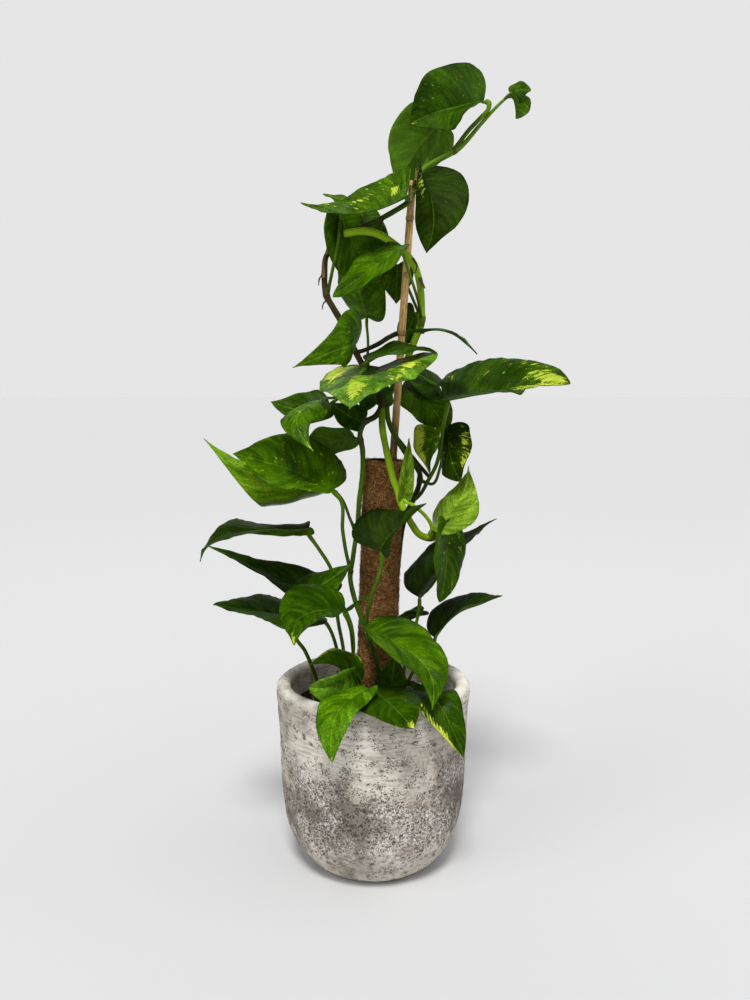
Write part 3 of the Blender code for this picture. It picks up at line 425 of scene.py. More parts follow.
STEM_BARK = {
    "main": (
        Bark.DUSK, Bark.MOSS, Bark.MOSS, Bark.GREEN, Bark.DUSK,
        Bark.CORK, Bark.CORK, Bark.MOSS, Bark.GREEN, Bark.GREEN,
    ),
    "second": (
        Bark.LIME, Bark.LIME, Bark.LIME, Bark.GREEN, Bark.MOSS,
        Bark.DUSK, Bark.DUSK, Bark.DUSK, Bark.DUSK, Bark.DUSK,
    ),
    "second_side": (Bark.DUSK, Bark.DUSK),
    "fresh_shoot": (Bark.GREEN, Bark.LIME, Bark.LIME, Bark.LIME),
    "cut_stub": (Bark.CORK, Bark.DUSK, Bark.MOSS),
}

STALK_BARK = {Green.FRESH: (Bark.LIME, Bark.LIME), Green.BRIGHT: (Bark.GREEN, Bark.LIME)}


class Graph:
    """A material's node graph, with one short method for each node that the finishes use."""

    def __init__(self, name: str) -> None:
        """Starts a material with an empty surface shader.

        Args:
            name: the material's name.
        """
        self.material = bpy.data.materials.new(name)
        self.material.use_nodes = True
        self.tree = self.material.node_tree
        self.shader = self.tree.nodes["Principled BSDF"]

    def link(self, value: object, socket: Socket) -> None:
        """Joins a socket, or writes a plain value, to another socket.

        Args:
            value: the socket, number, vector or colour.
            socket: the input that takes it.
        """
        if isinstance(value, Socket):
            self.tree.links.new(value, socket)
        elif isinstance(value, tuple) and len(value) == 3 and socket.type == "RGBA":
            socket.default_value = (*value, 1.0)
        else:
            socket.default_value = value

    def node(self, kind: str, settings: dict, inputs: dict) -> bpy.types.Node:
        """Adds one node.

        Args:
            kind: the node's type name.
            settings: the node's own properties.
            inputs: what goes into its sockets, by name or number.

        Returns:
            The node.
        """
        made = self.tree.nodes.new(kind)
        for key, value in settings.items():
            setattr(made, key, value)
        for key, value in inputs.items():
            self.link(value, made.inputs[key])
        return made

    def place(self) -> Socket:
        """The point's place on the object, in metres."""
        return self.node("ShaderNodeTexCoord", {}, {}).outputs["Object"]

    def attribute(self, name: str, output: str = "Vector") -> Socket:
        """A value kept at the piece's points."""
        return self.node("ShaderNodeAttribute", {"attribute_name": name}, {}).outputs[output]

    def part(self, vector: Socket, axis: str) -> Socket:
        """One of the three parts of a vector."""
        return self.node("ShaderNodeSeparateXYZ", {}, {"Vector": vector}).outputs[axis]

    def stretched(self, vector: Socket, scale: Triple) -> Socket:
        """The vector with each part multiplied."""
        return self.node("ShaderNodeMapping", {}, {"Vector": vector, "Scale": scale}).outputs[0]

    def warped(self, vector: Socket, scale: float, reach: float) -> Socket:
        """The vector moved about by a cloudy noise.

        Args:
            vector: the point's place.
            scale: how fine the noise is.
            reach: how far the noise moves the point.

        Returns:
            The moved place.
        """
        bend = self.node("ShaderNodeTexNoise", {}, {"Vector": vector, "Scale": scale}).outputs["Color"]
        both = {0: vector, 1: self.stretched(bend, (reach, reach, reach))}
        return self.node("ShaderNodeVectorMath", {"operation": "ADD"}, both).outputs[0]

    def noise(self, vector: Socket, scale: float, detail: float, rough: float = 0.55) -> Socket:
        """Cloudy noise from 0 to 1."""
        inputs = {"Vector": vector, "Scale": scale, "Detail": detail, "Roughness": rough}
        return self.node("ShaderNodeTexNoise", {}, inputs).outputs["Fac"]

    def drawn(self, vector: Socket, scale: Triple, detail: float, rough: float = 0.55) -> Socket:
        """Cloudy noise that is drawn out, with a scale of its own along each axis."""
        return self.noise(self.stretched(vector, scale), 1.0, detail, rough)

    def cells(self, vector: Socket, scale: float) -> Socket:
        """The distance to the nearest cell's centre."""
        return self.node("ShaderNodeTexVoronoi", {}, {"Vector": vector, "Scale": scale}).outputs["Distance"]

    def maths(self, operation: str, first: object, second: object = 0.0) -> Socket:
        """One sum on one or two numbers."""
        return self.node("ShaderNodeMath", {"operation": operation}, {0: first, 1: second}).outputs[0]

    def times(self, first: object, second: object) -> Socket:
        """The product of two numbers."""
        return self.maths("MULTIPLY", first, second)

    def plus(self, first: object, second: object) -> Socket:
        """The sum of two numbers."""
        return self.maths("ADD", first, second)

    def step(self, value: Socket, low: float, high: float) -> Socket:
        """A smooth step.

        Args:
            value: the number that is stepped.
            low: where the step is 0.
            high: where the step is 1, which may be below low.

        Returns:
            The step, from 0 to 1.
        """
        if low < high:
            inputs = {"Value": value, "From Min": low, "From Max": high}
        else:
            inputs = {"Value": value, "From Min": high, "From Max": low, "To Min": 1.0, "To Max": 0.0}
        return self.node("ShaderNodeMapRange", {"interpolation_type": "SMOOTHSTEP"}, inputs).outputs[0]

    def scaled(self, value: Socket, low: float, high: float) -> Socket:
        """A value from 0 to 1 spread from low to high."""
        return self.node("ShaderNodeMapRange", {}, {"Value": value, "To Min": low, "To Max": high}).outputs[0]

    def mixed(self, share: object, first: object, second: object, kind: str = "MIX") -> Socket:
        """Two colours mixed by a share.

        Args:
            share: how much of the second is laid on.
            first: the colour below.
            second: the colour on top.
            kind: how the second is laid on.

        Returns:
            The mixed colour.
        """
        made = self.node("ShaderNodeMix", {"data_type": "RGBA", "blend_type": kind}, {})
        for number, value in ((0, share), (6, first), (7, second)):
            self.link(value, made.inputs[number])
        return made.outputs[2]

    def painted(self, colour: Socket, share: object, strength: object, paint: object) -> Socket:
        """The colour with paint laid on, by a share times a strength."""
        return self.mixed(self.times(share, strength), colour, paint)

    def toned(self, colour: Socket, share: Socket, low: Triple, high: Triple) -> Socket:
        """The colour multiplied by a tone, which a share picks between two."""
        return self.mixed(1.0, colour, self.mixed(share, low, high), "MULTIPLY")

    def ramp(self, value: Socket, stops: tuple) -> Socket:
        """A colour picked along a row of stops.

        Args:
            value: the place in the row, from 0 to 1.
            stops: the (place, colour) pairs.

        Returns:
            The colour.
        """
        made = self.node("ShaderNodeValToRGB", {}, {"Fac": value})
        band = made.color_ramp.elements
        for _ in range(len(stops) - 2):
            band.new(0.5)
        for element, (place, colour) in zip(band, stops):
            element.position = place
            element.color = (*colour, 1.0)
        return made.outputs["Color"]

    def relief(self, *layers: tuple) -> Socket:
        """Bumps laid over one another.

        Args:
            layers: (height, rise in metres of a height of one, strength), the lowest first.

        Returns:
            The bumpy surface's normal.
        """
        normal = None
        for height, rise, strength in layers:
            made = self.node("ShaderNodeBump", {}, {"Height": height, "Distance": rise, "Strength": strength})
            if normal is not None:
                self.link(normal, made.inputs["Normal"])
            normal = made.outputs["Normal"]
        return normal

    def finish(self, **inputs: object) -> bpy.types.Material:
        """Sets the surface shader's sockets.

        Args:
            inputs: the value of each socket, under its name with underscores for spaces.

        Returns:
            The finished material.
        """
        for key, value in inputs.items():
            self.link(value, self.shader.inputs[key.replace("_", " ").title().replace("Ior", "IOR")])
        return self.material


@dataclass(frozen=True)
class LeafFinish:
    """Waxy leaf skin: green with paler veins, yellow streaks along them and a dull underside.

    The kept place is (side, place along the side veins, seed), and the kept mark is
    (yellow, dullness, distance from the midrib in mm). veins is the number of side veins.
    """

    yellow: Triple = srgb(204, 214, 74)
    lime: Triple = srgb(168, 192, 56)
    rib: Triple = srgb(122, 158, 44)
    speck: Triple = srgb(24, 38, 1)
    underside: Triple = srgb(92, 128, 40)
    veins: float = 17.0

    def vein_lines(self, graph: Graph) -> Socket:
        """How far each point lies from the nearest side vein.

        Args:
            graph: the material's graph.

        Returns:
            The socket, 0 on a vein and 1 midway to the next.
        """
        place = graph.attribute("place")
        drift = graph.drawn(place, (0.6, 6.0, 5.1), 2.0)
        turns = graph.plus(graph.times(graph.part(place, "Y"), self.veins), graph.scaled(drift, -0.5, 0.5))
        phase = graph.maths("SUBTRACT", graph.maths("FRACT", turns), 0.5)
        return graph.times(graph.maths("ABSOLUTE", phase), 2.0)

    def streaks(self, graph: Graph) -> Socket:
        """How yellow the blade is.

        Clouds say where, up to the local amount, and noise drawn out along the side veins
        breaks them into streaks and specks.

        Args:
            graph: the material's graph.

        Returns:
            The socket, from 0 to 1.
        """
        place = graph.attribute("place")
        cloud = graph.drawn(place, (1.6, 9.0, 7.3), 2.0, 0.5)
        streak = graph.drawn(place, (5.0, 64.0, 3.7), 5.0, 0.7)
        amount = graph.part(graph.attribute("mark"), "X")
        raised = graph.plus(graph.times(cloud, 0.6), graph.times(streak, 1.2))
        return graph.step(graph.plus(raised, graph.times(amount, 0.62)), 1.27, 1.32)

    def material(self) -> bpy.types.Material:
        """The blade's material.

        Returns:
            The material.
        """
        graph = Graph("leaf_skin")
        place, mark = graph.attribute("place"), graph.attribute("mark")
        dull = graph.part(mark, "Y")
        lines = self.vein_lines(graph)
        cloud = graph.noise(graph.place(), 42.0, 4.0, 0.6)
        speck = graph.noise(graph.place(), 700.0, 3.0, 0.6)
        band = graph.drawn(place, (1.3, 13.0, 4.3), 2.0, 0.6)
        grain = graph.drawn(place, (3.0, 90.0, 2.3), 4.0, 0.65)
        # The skin itself: clouds, bands and grain, then specks and the side veins.
        green = graph.attribute("tint", "Color")
        green = graph.toned(green, graph.step(cloud, 0.3, 0.7), (0.62, 0.66, 0.4), (1.36, 1.28, 1.1))
        green = graph.toned(green, graph.step(band, 0.38, 0.62), (0.66, 0.7, 0.5), (1.3, 1.24, 1.2))
        green = graph.toned(green, graph.step(grain, 0.35, 0.65), (0.78, 0.8, 0.6), (1.24, 1.2, 1.3))
        green = graph.painted(green, graph.step(speck, 0.42, 0.62), 0.42, self.speck)
        green = graph.mixed(graph.step(lines, 0.8, 1.0), green, (1.28, 1.2, 1.1), "MULTIPLY")
        green = graph.mixed(graph.step(lines, 0.3, 0.0), green, (0.8, 0.82, 0.7), "MULTIPLY")
        # What lies over it: the yellow, the midrib and the paler underside.
        yellow = graph.mixed(graph.step(cloud, 0.35, 0.7), self.yellow, self.lime)
        green = graph.painted(green, self.streaks(graph), 0.9, yellow)
        near_rib = graph.step(graph.part(mark, "Z"), 0.9, 0.2)
        green = graph.mixed(near_rib, green, (1.4, 1.3, 1.2), "MULTIPLY")
        green = graph.painted(green, near_rib, 0.16, self.rib)
        green = graph.painted(green, graph.step(dull, 0.7, 0.9), 0.3, self.underside)
        pillow = graph.maths("POWER", lines, 2.0)
        normal = graph.relief(
            (pillow, -0.0003, 0.3), (band, 0.0012, 0.5), (grain, 0.0004, 0.45), (speck, 0.0001, 0.4)
        )
        rough = graph.plus(graph.scaled(cloud, 0.2, 0.4), graph.times(dull, 0.45))
        return graph.finish(
            base_color=green, roughness=rough, normal=normal, specular_ior_level=0.035,
            subsurface_weight=0.08, subsurface_radius=(0.5, 1.0, 0.05), subsurface_scale=0.0012,
        )


@dataclass(frozen=True)
class StemFinish:
    """Smooth stem skin: green to brown, with fine ridges along it and corky marks.

    The kept place is (across, across, mm along), and the first kept mark says how worn it is.
    """

    cork: Triple = srgb(62, 48, 28)

    def material(self) -> bpy.types.Material:
        """The stems' material.

        Returns:
            The material.
        """
        graph = Graph("stem_skin")
        ridges = graph.drawn(graph.attribute("place"), (5.0, 5.0, 0.35), 3.0)
        cloud = graph.noise(graph.place(), 140.0, 3.0)
        broad = graph.noise(graph.place(), 38.0, 3.0)
        worn = graph.part(graph.attribute("mark"), "X")
        tint = graph.toned(graph.attribute("tint", "Color"), ridges, (0.62, 0.66, 0.5), (1.45, 1.4, 1.3))
        tint = graph.mixed(graph.step(broad, 0.46, 0.64), tint, (0.66, 0.64, 0.5), "MULTIPLY")
        patch = graph.step(graph.plus(cloud, graph.times(worn, 0.42)), 0.68, 0.82)
        return graph.finish(
            base_color=graph.painted(tint, patch, 0.7, self.cork), roughness=graph.scaled(cloud, 0.24, 0.5),
            normal=graph.relief((ridges, 0.0004, 0.7), (cloud, 0.0005, 0.6)), specular_ior_level=0.14,
            subsurface_weight=0.06, subsurface_radius=(0.8, 1.0, 0.05), subsurface_scale=0.0015,
        )


@dataclass(frozen=True)
class ConcreteFinish:
    """Rough cast concrete: mottled greys with crusts, dark pits, trowel streaks and a pale lip that is partly
    painted highlight.

    The kept mark is (pit, band, lip), each from 0 to 1. pore_sizes lists, for each size of
    pore, the cells in a metre, the share of a cell that is open, and the clouds' level above
    which it is.
    """

    pale: Triple = srgb(226, 220, 207)
    middle: Triple = srgb(190, 181, 168)
    dark: Triple = srgb(124, 115, 106)
    crust: Triple = srgb(232, 229, 224)
    pit: Triple = srgb(48, 42, 38)
    # The lip's colour: partly the rim's own paler finish, partly a painted highlight on its lit top.
    lip: Triple = srgb(250, 246, 232)
    pore_sizes: tuple = (
        (105.0, 0.15, 0.46), (170.0, 0.22, 0.48), (330.0, 0.32, 0.45), (700.0, 0.42, 0.42),
    )

    def pores(self, graph: Graph, open_share: Socket) -> Socket:
        """Where pores open: small uneven cells, picked by clouds.

        Args:
            graph: the material's graph.
            open_share: how freely they open there, from 0 to 1.

        Returns:
            The socket, 1 in a pore and 0 beside it.
        """
        place = graph.place()
        warped = graph.warped(place, 420.0, 0.0032)
        eased = graph.scaled(open_share, -0.16, 0.0)
        found = 0.0
        for scale, wide, low in self.pore_sizes:
            hole = graph.step(graph.cells(warped, scale), wide, wide - 0.06)
            cloud = graph.plus(graph.noise(place, scale * 0.16, 3.0, 0.6), eased)
            found = graph.maths("MAXIMUM", found, graph.times(hole, graph.step(cloud, low, low + 0.04)))
        return found

    def material(self) -> bpy.types.Material:
        """The pot's material.

        The point's height picks the zones: a streaked upper part, a crusted and pitted
        middle, a smoother foot.

        Returns:
            The material.
        """
        graph = Graph("cast_concrete")
        place, mark = graph.place(), graph.attribute("mark")
        on_lip = graph.part(mark, "Z")
        high = graph.plus(graph.part(place, "Z"), graph.scaled(graph.noise(place, 14.0, 3.0), -0.05, 0.05))
        crusted = graph.times(graph.step(high, 0.02, 0.055), graph.step(high, 0.115, 0.08))
        streaked = graph.step(high, 0.085, 0.12)
        broad = graph.noise(place, 15.0, 5.0, 0.6)
        middle = graph.noise(place, 70.0, 6.0, 0.7)
        speckle = graph.noise(place, 450.0, 4.0, 0.64)
        streak = graph.drawn(place, (55.0, 55.0, 620.0), 3.0, 0.6)
        crumb = graph.noise(graph.stretched(place, (1.0, 1.0, 1.4)), 380.0, 4.0, 0.62)
        # The greys, then the streaks, the crumb and the white crust over them.
        tone = graph.plus(graph.times(broad, 0.5), graph.times(middle, 0.32))
        tone = graph.plus(tone, graph.times(speckle, 0.2))
        tone = graph.maths("SUBTRACT", tone, graph.times(graph.part(mark, "Y"), 0.1))
        colour = graph.ramp(tone, ((0.4, self.dark), (0.475, self.middle), (0.575, self.pale)))
        lines = graph.times(graph.step(streak, 0.5, 0.6), graph.scaled(streaked, 0.12, 0.9))
        colour = graph.painted(colour, lines, middle, self.dark)
        crumbs = graph.step(crumb, 0.53, 0.6)
        colour = graph.painted(colour, crumbs, graph.scaled(crusted, 0.2, 0.62), self.dark)
        white = graph.times(graph.step(speckle, 0.49, 0.56), graph.scaled(crusted, 0.12, 0.85))
        patchy = graph.step(graph.noise(place, 34.0, 4.0), 0.4, 0.6)
        colour = graph.painted(colour, white, patchy, self.crust)
        # The pale lip: partly the rim's own paler finish, partly a painted highlight where light falls on the
        # rim's top.
        colour = graph.painted(colour, on_lip, 0.9, self.lip)
        colour = graph.mixed(graph.scaled(speckle, 0.0, 0.3), colour, self.dark)
        # The holes: drawn pores, and the pits that lie in the piece itself.
        open_share = graph.maths("SUBTRACT", graph.scaled(crusted, 0.35, 0.9), on_lip)
        holes = graph.maths("MAXIMUM", self.pores(graph, open_share), graph.part(mark, "X"))
        colour = graph.painted(colour, holes, 0.8, self.pit)
        normal = graph.relief((holes, -0.001, 0.8), (speckle, 0.0005, 0.7), (streak, 0.0004, 0.3))
        return graph.finish(base_color=colour, roughness=0.88, normal=normal, specular_ior_level=0.25)


@dataclass(frozen=True)
class PottingMixFinish:
    """Dark crumbly mix with brown fibres."""

    dark: Triple = srgb(20, 15, 11)
    middle: Triple = srgb(48, 36, 26)
    fibre: Triple = srgb(92, 68, 46)

    def material(self) -> bpy.types.Material:
        """The soil's material.

        Returns:
            The material.
        """
        graph = Graph("potting_mix_crumb")
        crumb = graph.cells(graph.place(), 420.0)
        cloud = graph.noise(graph.place(), 260.0, 4.0, 0.7)
        colour = graph.ramp(cloud, ((0.3, self.dark), (0.55, self.middle), (0.75, self.fibre)))
        normal = graph.relief((crumb, 0.0016, 0.9), (cloud, 0.001, 0.6))
        return graph.finish(base_color=colour, roughness=0.95, normal=normal, specular_ior_level=0.15)


@dataclass(frozen=True)
class GritFinish:
    """Small loose bits whose colour lies in the piece: perlite, bark and fibre."""

    name: str
    rough: float = 0.9

    def material(self) -> bpy.types.Material:
        """The bits' material.

        Returns:
            The material.
        """
        graph = Graph(self.name)
        cloud = graph.noise(graph.place(), 700.0, 3.0, 0.7)
        colour = graph.toned(graph.attribute("tint", "Color"), cloud, (0.5, 0.5, 0.5), (1.45, 1.45, 1.45))
        normal = graph.relief((cloud, 0.0005, 0.7))
        return graph.finish(base_color=colour, roughness=self.rough, normal=normal, specular_ior_level=0.2)


@dataclass(frozen=True)
class CoirFinish:
    """Matted coconut fibre: fine crossing hairs from light tan to nearly black."""

    dark: Triple = srgb(54, 35, 16)
    brown: Triple = srgb(134, 92, 50)
    tan: Triple = srgb(208, 152, 92)

    def material(self) -> bpy.types.Material:
        """The coir mat's material.

        Returns:
            The material.
        """
        graph = Graph("coir_mat")
        bent = graph.warped(graph.place(), 70.0, 0.012)
        upright = graph.drawn(bent, (900.0, 900.0, 160.0), 3.0, 0.6)
        level = graph.drawn(bent, (220.0, 220.0, 1400.0), 3.0, 0.6)
        hairs = graph.maths("MAXIMUM", upright, level)
        colour = graph.ramp(hairs, ((0.42, self.dark), (0.56, self.brown), (0.7, self.tan)))
        normal = graph.relief((hairs, 0.0014, 0.9))
        return graph.finish(base_color=colour, roughness=0.95, normal=normal, specular_ior_level=0.15)


@dataclass(frozen=True)
class BambooFinish:
    """Dry bamboo skin: tan above and redder below, with fine streaks and darker knots.

    The kept mark is (how high, how knotted). Each pair of colours is a streak's dark and
    light one.
    """

    tan: tuple = (srgb(178, 130, 66), srgb(246, 206, 142))
    red: tuple = (srgb(92, 66, 34), srgb(158, 126, 76))
    blotch: Triple = srgb(112, 82, 46)
    knot: Triple = srgb(74, 52, 28)

    def material(self) -> bpy.types.Material:
        """The cane's material.

        Returns:
            The material.
        """
        graph = Graph("dry_bamboo")
        mark = graph.attribute("mark")
        streak = graph.drawn(graph.attribute("place"), (3.0, 3.0, 0.12), 4.0, 0.6)
        blotch = graph.noise(graph.place(), 60.0, 3.0)
        low, high = (graph.mixed(graph.step(streak, 0.3, 0.7), *pair) for pair in (self.red, self.tan))
        colour = graph.mixed(graph.part(mark, "X"), low, high)
        colour = graph.mixed(graph.step(blotch, 0.62, 0.75), colour, self.blotch)
        colour = graph.painted(colour, graph.part(mark, "Y"), 0.8, self.knot)
        return graph.finish(
            base_color=colour, roughness=graph.scaled(blotch, 0.4, 0.65),
            normal=graph.relief((streak, 0.0003, 0.6)), specular_ior_level=0.2,
        )


@dataclass(frozen=True)
class PaperFinish:
    """Dry papery sheath, brown and pink with fine lengthwise veins."""

    rough: float = 0.7

    def material(self) -> bpy.types.Material:
        """The sheaths' material.

        Returns:
            The material.
        """
        graph = Graph("dry_sheath")
        streak = graph.drawn(graph.attribute("place"), (30.0, 1.2, 1.0), 3.0)
        colour = graph.toned(graph.attribute("tint", "Color"), streak, (0.55, 0.5, 0.5), (1.4, 1.4, 1.35))
        normal = graph.relief((streak, 0.0003, 0.7))
        return graph.finish(base_color=colour, roughness=self.rough, normal=normal, specular_ior_level=0.3)


@dataclass(frozen=True)
class PlasticFinish:
    """Dark moulded plastic with a faint grain."""

    dark: Triple = srgb(44, 30, 18)
    pale: Triple = srgb(70, 50, 30)

    def material(self) -> bpy.types.Material:
        """The core tube's material.

        Returns:
            The material.
        """
        graph = Graph("moulded_plastic")
        grain = graph.noise(graph.place(), 600.0, 3.0)
        colour = graph.ramp(grain, ((0.3, self.dark), (0.7, self.pale)))
        normal = graph.relief((grain, 0.0002, 0.5))
        return graph.finish(base_color=colour, roughness=0.8, normal=normal, specular_ior_level=0.1)


def unit(vectors: np.ndarray) -> np.ndarray:
    """The vectors at length one."""
    length = np.linalg.norm(vectors, axis=-1, keepdims=True)
    return vectors / np.maximum(length, 1e-12)


def full_turn(count: int) -> np.ndarray:
    """Turns spread evenly round a circle, in radians."""
    return np.linspace(0.0, 2.0 * math.pi, count, endpoint=False)


def around(radius: np.ndarray | float, turn: np.ndarray, high: np.ndarray) -> np.ndarray:
    """Points about Z, each at a radius, a turn and a height."""
    return np.stack(np.broadcast_arrays(radius * np.cos(turn), radius * np.sin(turn), high), -1)


def first_mark(values: np.ndarray) -> np.ndarray:
    """The values as the first of the three kept marks, over zeros."""
    return np.stack([values, 0.0 * values, 0.0 * values], -1)


def ends_gathered(points: np.ndarray) -> np.ndarray:
    """Gathers the first and the last row of a grid of points, each to its own middle.

    Args:
        points: the points as (..., rows, columns, 3).

    Returns:
        The same points, after that.
    """
    for row in (0, -1):
        points[..., row, :, :] = points[..., row, :, :].mean(axis=-2, keepdims=True)
    return points


def smooth_path(points: tuple, step: float) -> np.ndarray:
    """Points on a smooth curve through the given ones.

    Each span is the cubic that leaves and meets the given points along the mean slope there.

    Args:
        points: the given points.
        step: about how far apart the new points are.

    Returns:
        The new points, in rows.
    """
    points = np.array(points, float)
    reach = np.concatenate([[0.0], np.cumsum(np.linalg.norm(np.diff(points, axis=0), axis=1))])
    if len(points) > 2:
        slope = np.gradient(points, reach, axis=0)
    else:
        slope = np.diff(points, axis=0)[[0, 0]] / reach[-1]
    at = np.linspace(0.0, reach[-1], max(2, round(reach[-1] / step) + 1))
    index = np.clip(np.searchsorted(reach, at, side="right") - 1, 0, len(points) - 2)
    span = (reach[index + 1] - reach[index])[:, None]
    t = (at - reach[index])[:, None] / span
    return (
        points[index] * (1 + 2 * t) * (1 - t) ** 2
        + slope[index] * span * t * (1 - t) ** 2
        + points[index + 1] * t**2 * (3 - 2 * t)
        + slope[index + 1] * span * t**2 * (t - 1)
    )


def arc_lengths(points: np.ndarray) -> np.ndarray:
    """How far along each path its points lie.

    Args:
        points: the paths, with their points along the last axis but one.

    Returns:
        One length for each point.
    """
    steps = np.linalg.norm(np.diff(points, axis=-2), axis=-1)
    start = np.zeros((*steps.shape[:-1], 1))
    return np.concatenate([start, np.cumsum(steps, axis=-1)], axis=-1)


def spread(values: tuple, count: int) -> np.ndarray:
    """The values spread evenly over a number of places, straight between two of them.

    Args:
        values: the values, two or more.
        count: the number of places.

    Returns:
        One value for each place.
    """
    values = np.array(values, float)
    at = np.linspace(0.0, len(values) - 1.0, count)
    index = np.minimum(at.astype(int), len(values) - 2)
    share = (at - index).reshape(-1, *([1] * (values.ndim - 1)))
    return values[index] * (1.0 - share) + values[index + 1] * share


@dataclass
class Shell:
    """A closed surface on a grid: many rows, each a ring of columns, in mm.

    points is (bodies, rows, columns, 3). The first and the last row are drawn together into
    a pole, unless looped says that the last row joins the first. place, tint and mark are
    kept at the points for the materials.
    """

    points: np.ndarray
    place: np.ndarray | None = None
    tint: np.ndarray | None = None
    mark: np.ndarray | None = None
    looped: bool = False

    def faces(self, start: int) -> tuple[np.ndarray, np.ndarray]:
        """The quads between the rows, and the triangles around the poles.

        Args:
            start: the number of points that lie before this shell's in the mesh.

        Returns:
            The corners of the quads and of the triangles.
        """
        bodies, rows, columns = self.points.shape[:3]
        index = start + np.arange(bodies * rows * columns).reshape(bodies, rows, columns)
        following = np.roll(index, -1, axis=2)
        quads = np.stack([index, np.roll(index, -1, 1), np.roll(following, -1, 1), following], -1)
        if self.looped:
            return quads.reshape(-1, 4), np.zeros((0, 3), int)
        quads = quads[:, 1:-2]
        top = np.broadcast_to(index[:, :1, :1], (bodies, 1, columns))
        foot = np.broadcast_to(index[:, -1:, :1], (bodies, 1, columns))
        first = np.stack([top, index[:, 1:2], following[:, 1:2]], -1)
        last = np.stack([index[:, -2:-1], foot, following[:, -2:-1]], -1)
        return quads.reshape(-1, 4), np.concatenate([first.reshape(-1, 3), last.reshape(-1, 3)])


class Piece:
    """One named piece of the plant, gathered from shells and made into a single mesh."""

    def __init__(self, name: str, *shells: Shell) -> None:
        """Starts a piece of that name from its shells."""
        self.name = name
        self.shells = shells

    def values(self, name: str) -> np.ndarray:
        """One of the three kept values over all points.

        Args:
            name: place, tint or mark.

        Returns:
            The values in rows of three, zero where a shell has none.
        """
        rows = []
        for shell in self.shells:
            value = getattr(shell, name)
            if value is None:
                value = np.zeros(3)
            rows.append(np.broadcast_to(value, shell.points.shape).reshape(-1, 3))
        return np.concatenate(rows)

    def mesh(self) -> bpy.types.Mesh:
        """Joins the shells into a mesh, in metres, that keeps their values at its points.

        Returns:
            The mesh.
        """
        quads, corners, start = [], [], 0
        for shell in self.shells:
            four, three = shell.faces(start)
            quads.append(four)
            corners.append(three)
            start += shell.points[..., 0].size
        quads, corners = np.concatenate(quads), np.concatenate(corners)
        used, loops = np.unique(np.concatenate([quads.ravel(), corners.ravel()]), return_inverse=True)
        points = np.concatenate([shell.points.reshape(-1, 3) for shell in self.shells])[used] * MM
        mesh = bpy.data.meshes.new(self.name)
        mesh.vertices.add(len(points))
        mesh.vertices.foreach_set("co", points.ravel())
        mesh.loops.add(len(loops))
        mesh.loops.foreach_set("vertex_index", loops.astype(np.int32))
        mesh.polygons.add(len(quads) + len(corners))
        starts = np.concatenate([np.arange(len(quads)) * 4, quads.size + np.arange(len(corners)) * 3])
        mesh.polygons.foreach_set("loop_start", starts.astype(np.int32))
        mesh.update(calc_edges=True)
        mesh.shade_smooth()
        for name in ("place", "mark"):
            kept = mesh.attributes.new(name, "FLOAT_VECTOR", "POINT")
            kept.data.foreach_set("vector", self.values(name)[used].ravel().astype(np.float32))
        tint = np.concatenate([self.values("tint")[used], np.ones((len(used), 1))], axis=1)
        kept = mesh.attributes.new("tint", "FLOAT_COLOR", "POINT")
        kept.data.foreach_set("color", tint.ravel().astype(np.float32))
        return mesh

    def make(self, material: bpy.types.Material, slot: str, *nodes: str) -> None:
        """Makes the piece's object at the origin and lets it ride on the plant.

        Args:
            material: its material.
            slot: a slot name for the material; it is not used.
            nodes: the plain nodes that it stands for.
        """
        mesh = self.mesh()
        mesh.materials.append(material)
        made = bpy.data.objects.new(self.name, mesh)
        bpy.context.scene.collection.objects.link(made)
        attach(made, "root")
        if nodes:
            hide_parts(*nodes)
        LOG.info("%s: %d triangles", self.name, len(mesh.loops) - 2 * len(mesh.polygons))


def tube_frames(paths: np.ndarray) -> tuple[np.ndarray, np.ndarray]:
    """Two directions square to each path and to each other.

    The first direction across is the steady guide direction, out of six, that the path runs
    least along, less its part along the path.

    Args:
        paths: points as (bodies, rows, 3).

    Returns:
        The first and the second direction across.
    """
    along = unit(np.gradient(paths, axis=1))
    guides = unit(np.array([(0, 1, 0), (1, 0, 0), (0, 0, 1), (1, 1, 0), (1, -1, 0), (0, 1, 1)], float))
    worst = np.abs(along @ guides.T).max(axis=1)
    guide = guides[worst.argmin(axis=1)][:, None, :]
    across = unit(guide - np.sum(guide * along, axis=-1, keepdims=True) * along)
    return across, np.cross(along, across)


def tubes(paths: np.ndarray, radii: np.ndarray, sides: int, **values: np.ndarray) -> Shell:
    """Round tubes along paths: a ring square to the path at every point, closed by poles.

    Args:
        paths: points as (bodies, rows, 3), in mm.
        radii: radii as (bodies, rows), or (bodies, rows, sides) for other sections.
        sides: points around.
        values: the shell's tint and mark, as (bodies, rows, 3).

    Returns:
        The tubes as one shell.
    """
    across, beside = tube_frames(paths)
    turn = full_turn(sides)
    wide = radii[..., None] if radii.ndim == 2 else radii
    ring = (
        paths[:, :, None, :]
        + (wide * np.cos(turn))[..., None] * across[:, :, None, :]
        - (wide * np.sin(turn))[..., None] * beside[:, :, None, :]
    )
    pole = np.broadcast_to(paths[:, :, None, :], ring.shape)
    points = np.concatenate([pole[:, :1], ring, pole[:, -1:]], axis=1)
    kept = {name: value[:, :, None, :] + np.zeros((1, 1, sides, 1)) for name, value in values.items()}
    kept["place"] = around(1.0, turn, arc_lengths(paths)[:, :, None])
    for name, value in kept.items():
        kept[name] = np.concatenate([value[:, :1], value, value[:, -1:]], axis=1)
    return Shell(points, **kept)


def revolved(profile: np.ndarray, columns: int) -> np.ndarray:
    """A profile of (radius, height) pairs turned about Z, as (rows, columns, 3)."""
    return around(profile[:, :1], full_turn(columns), profile[:, 1:])


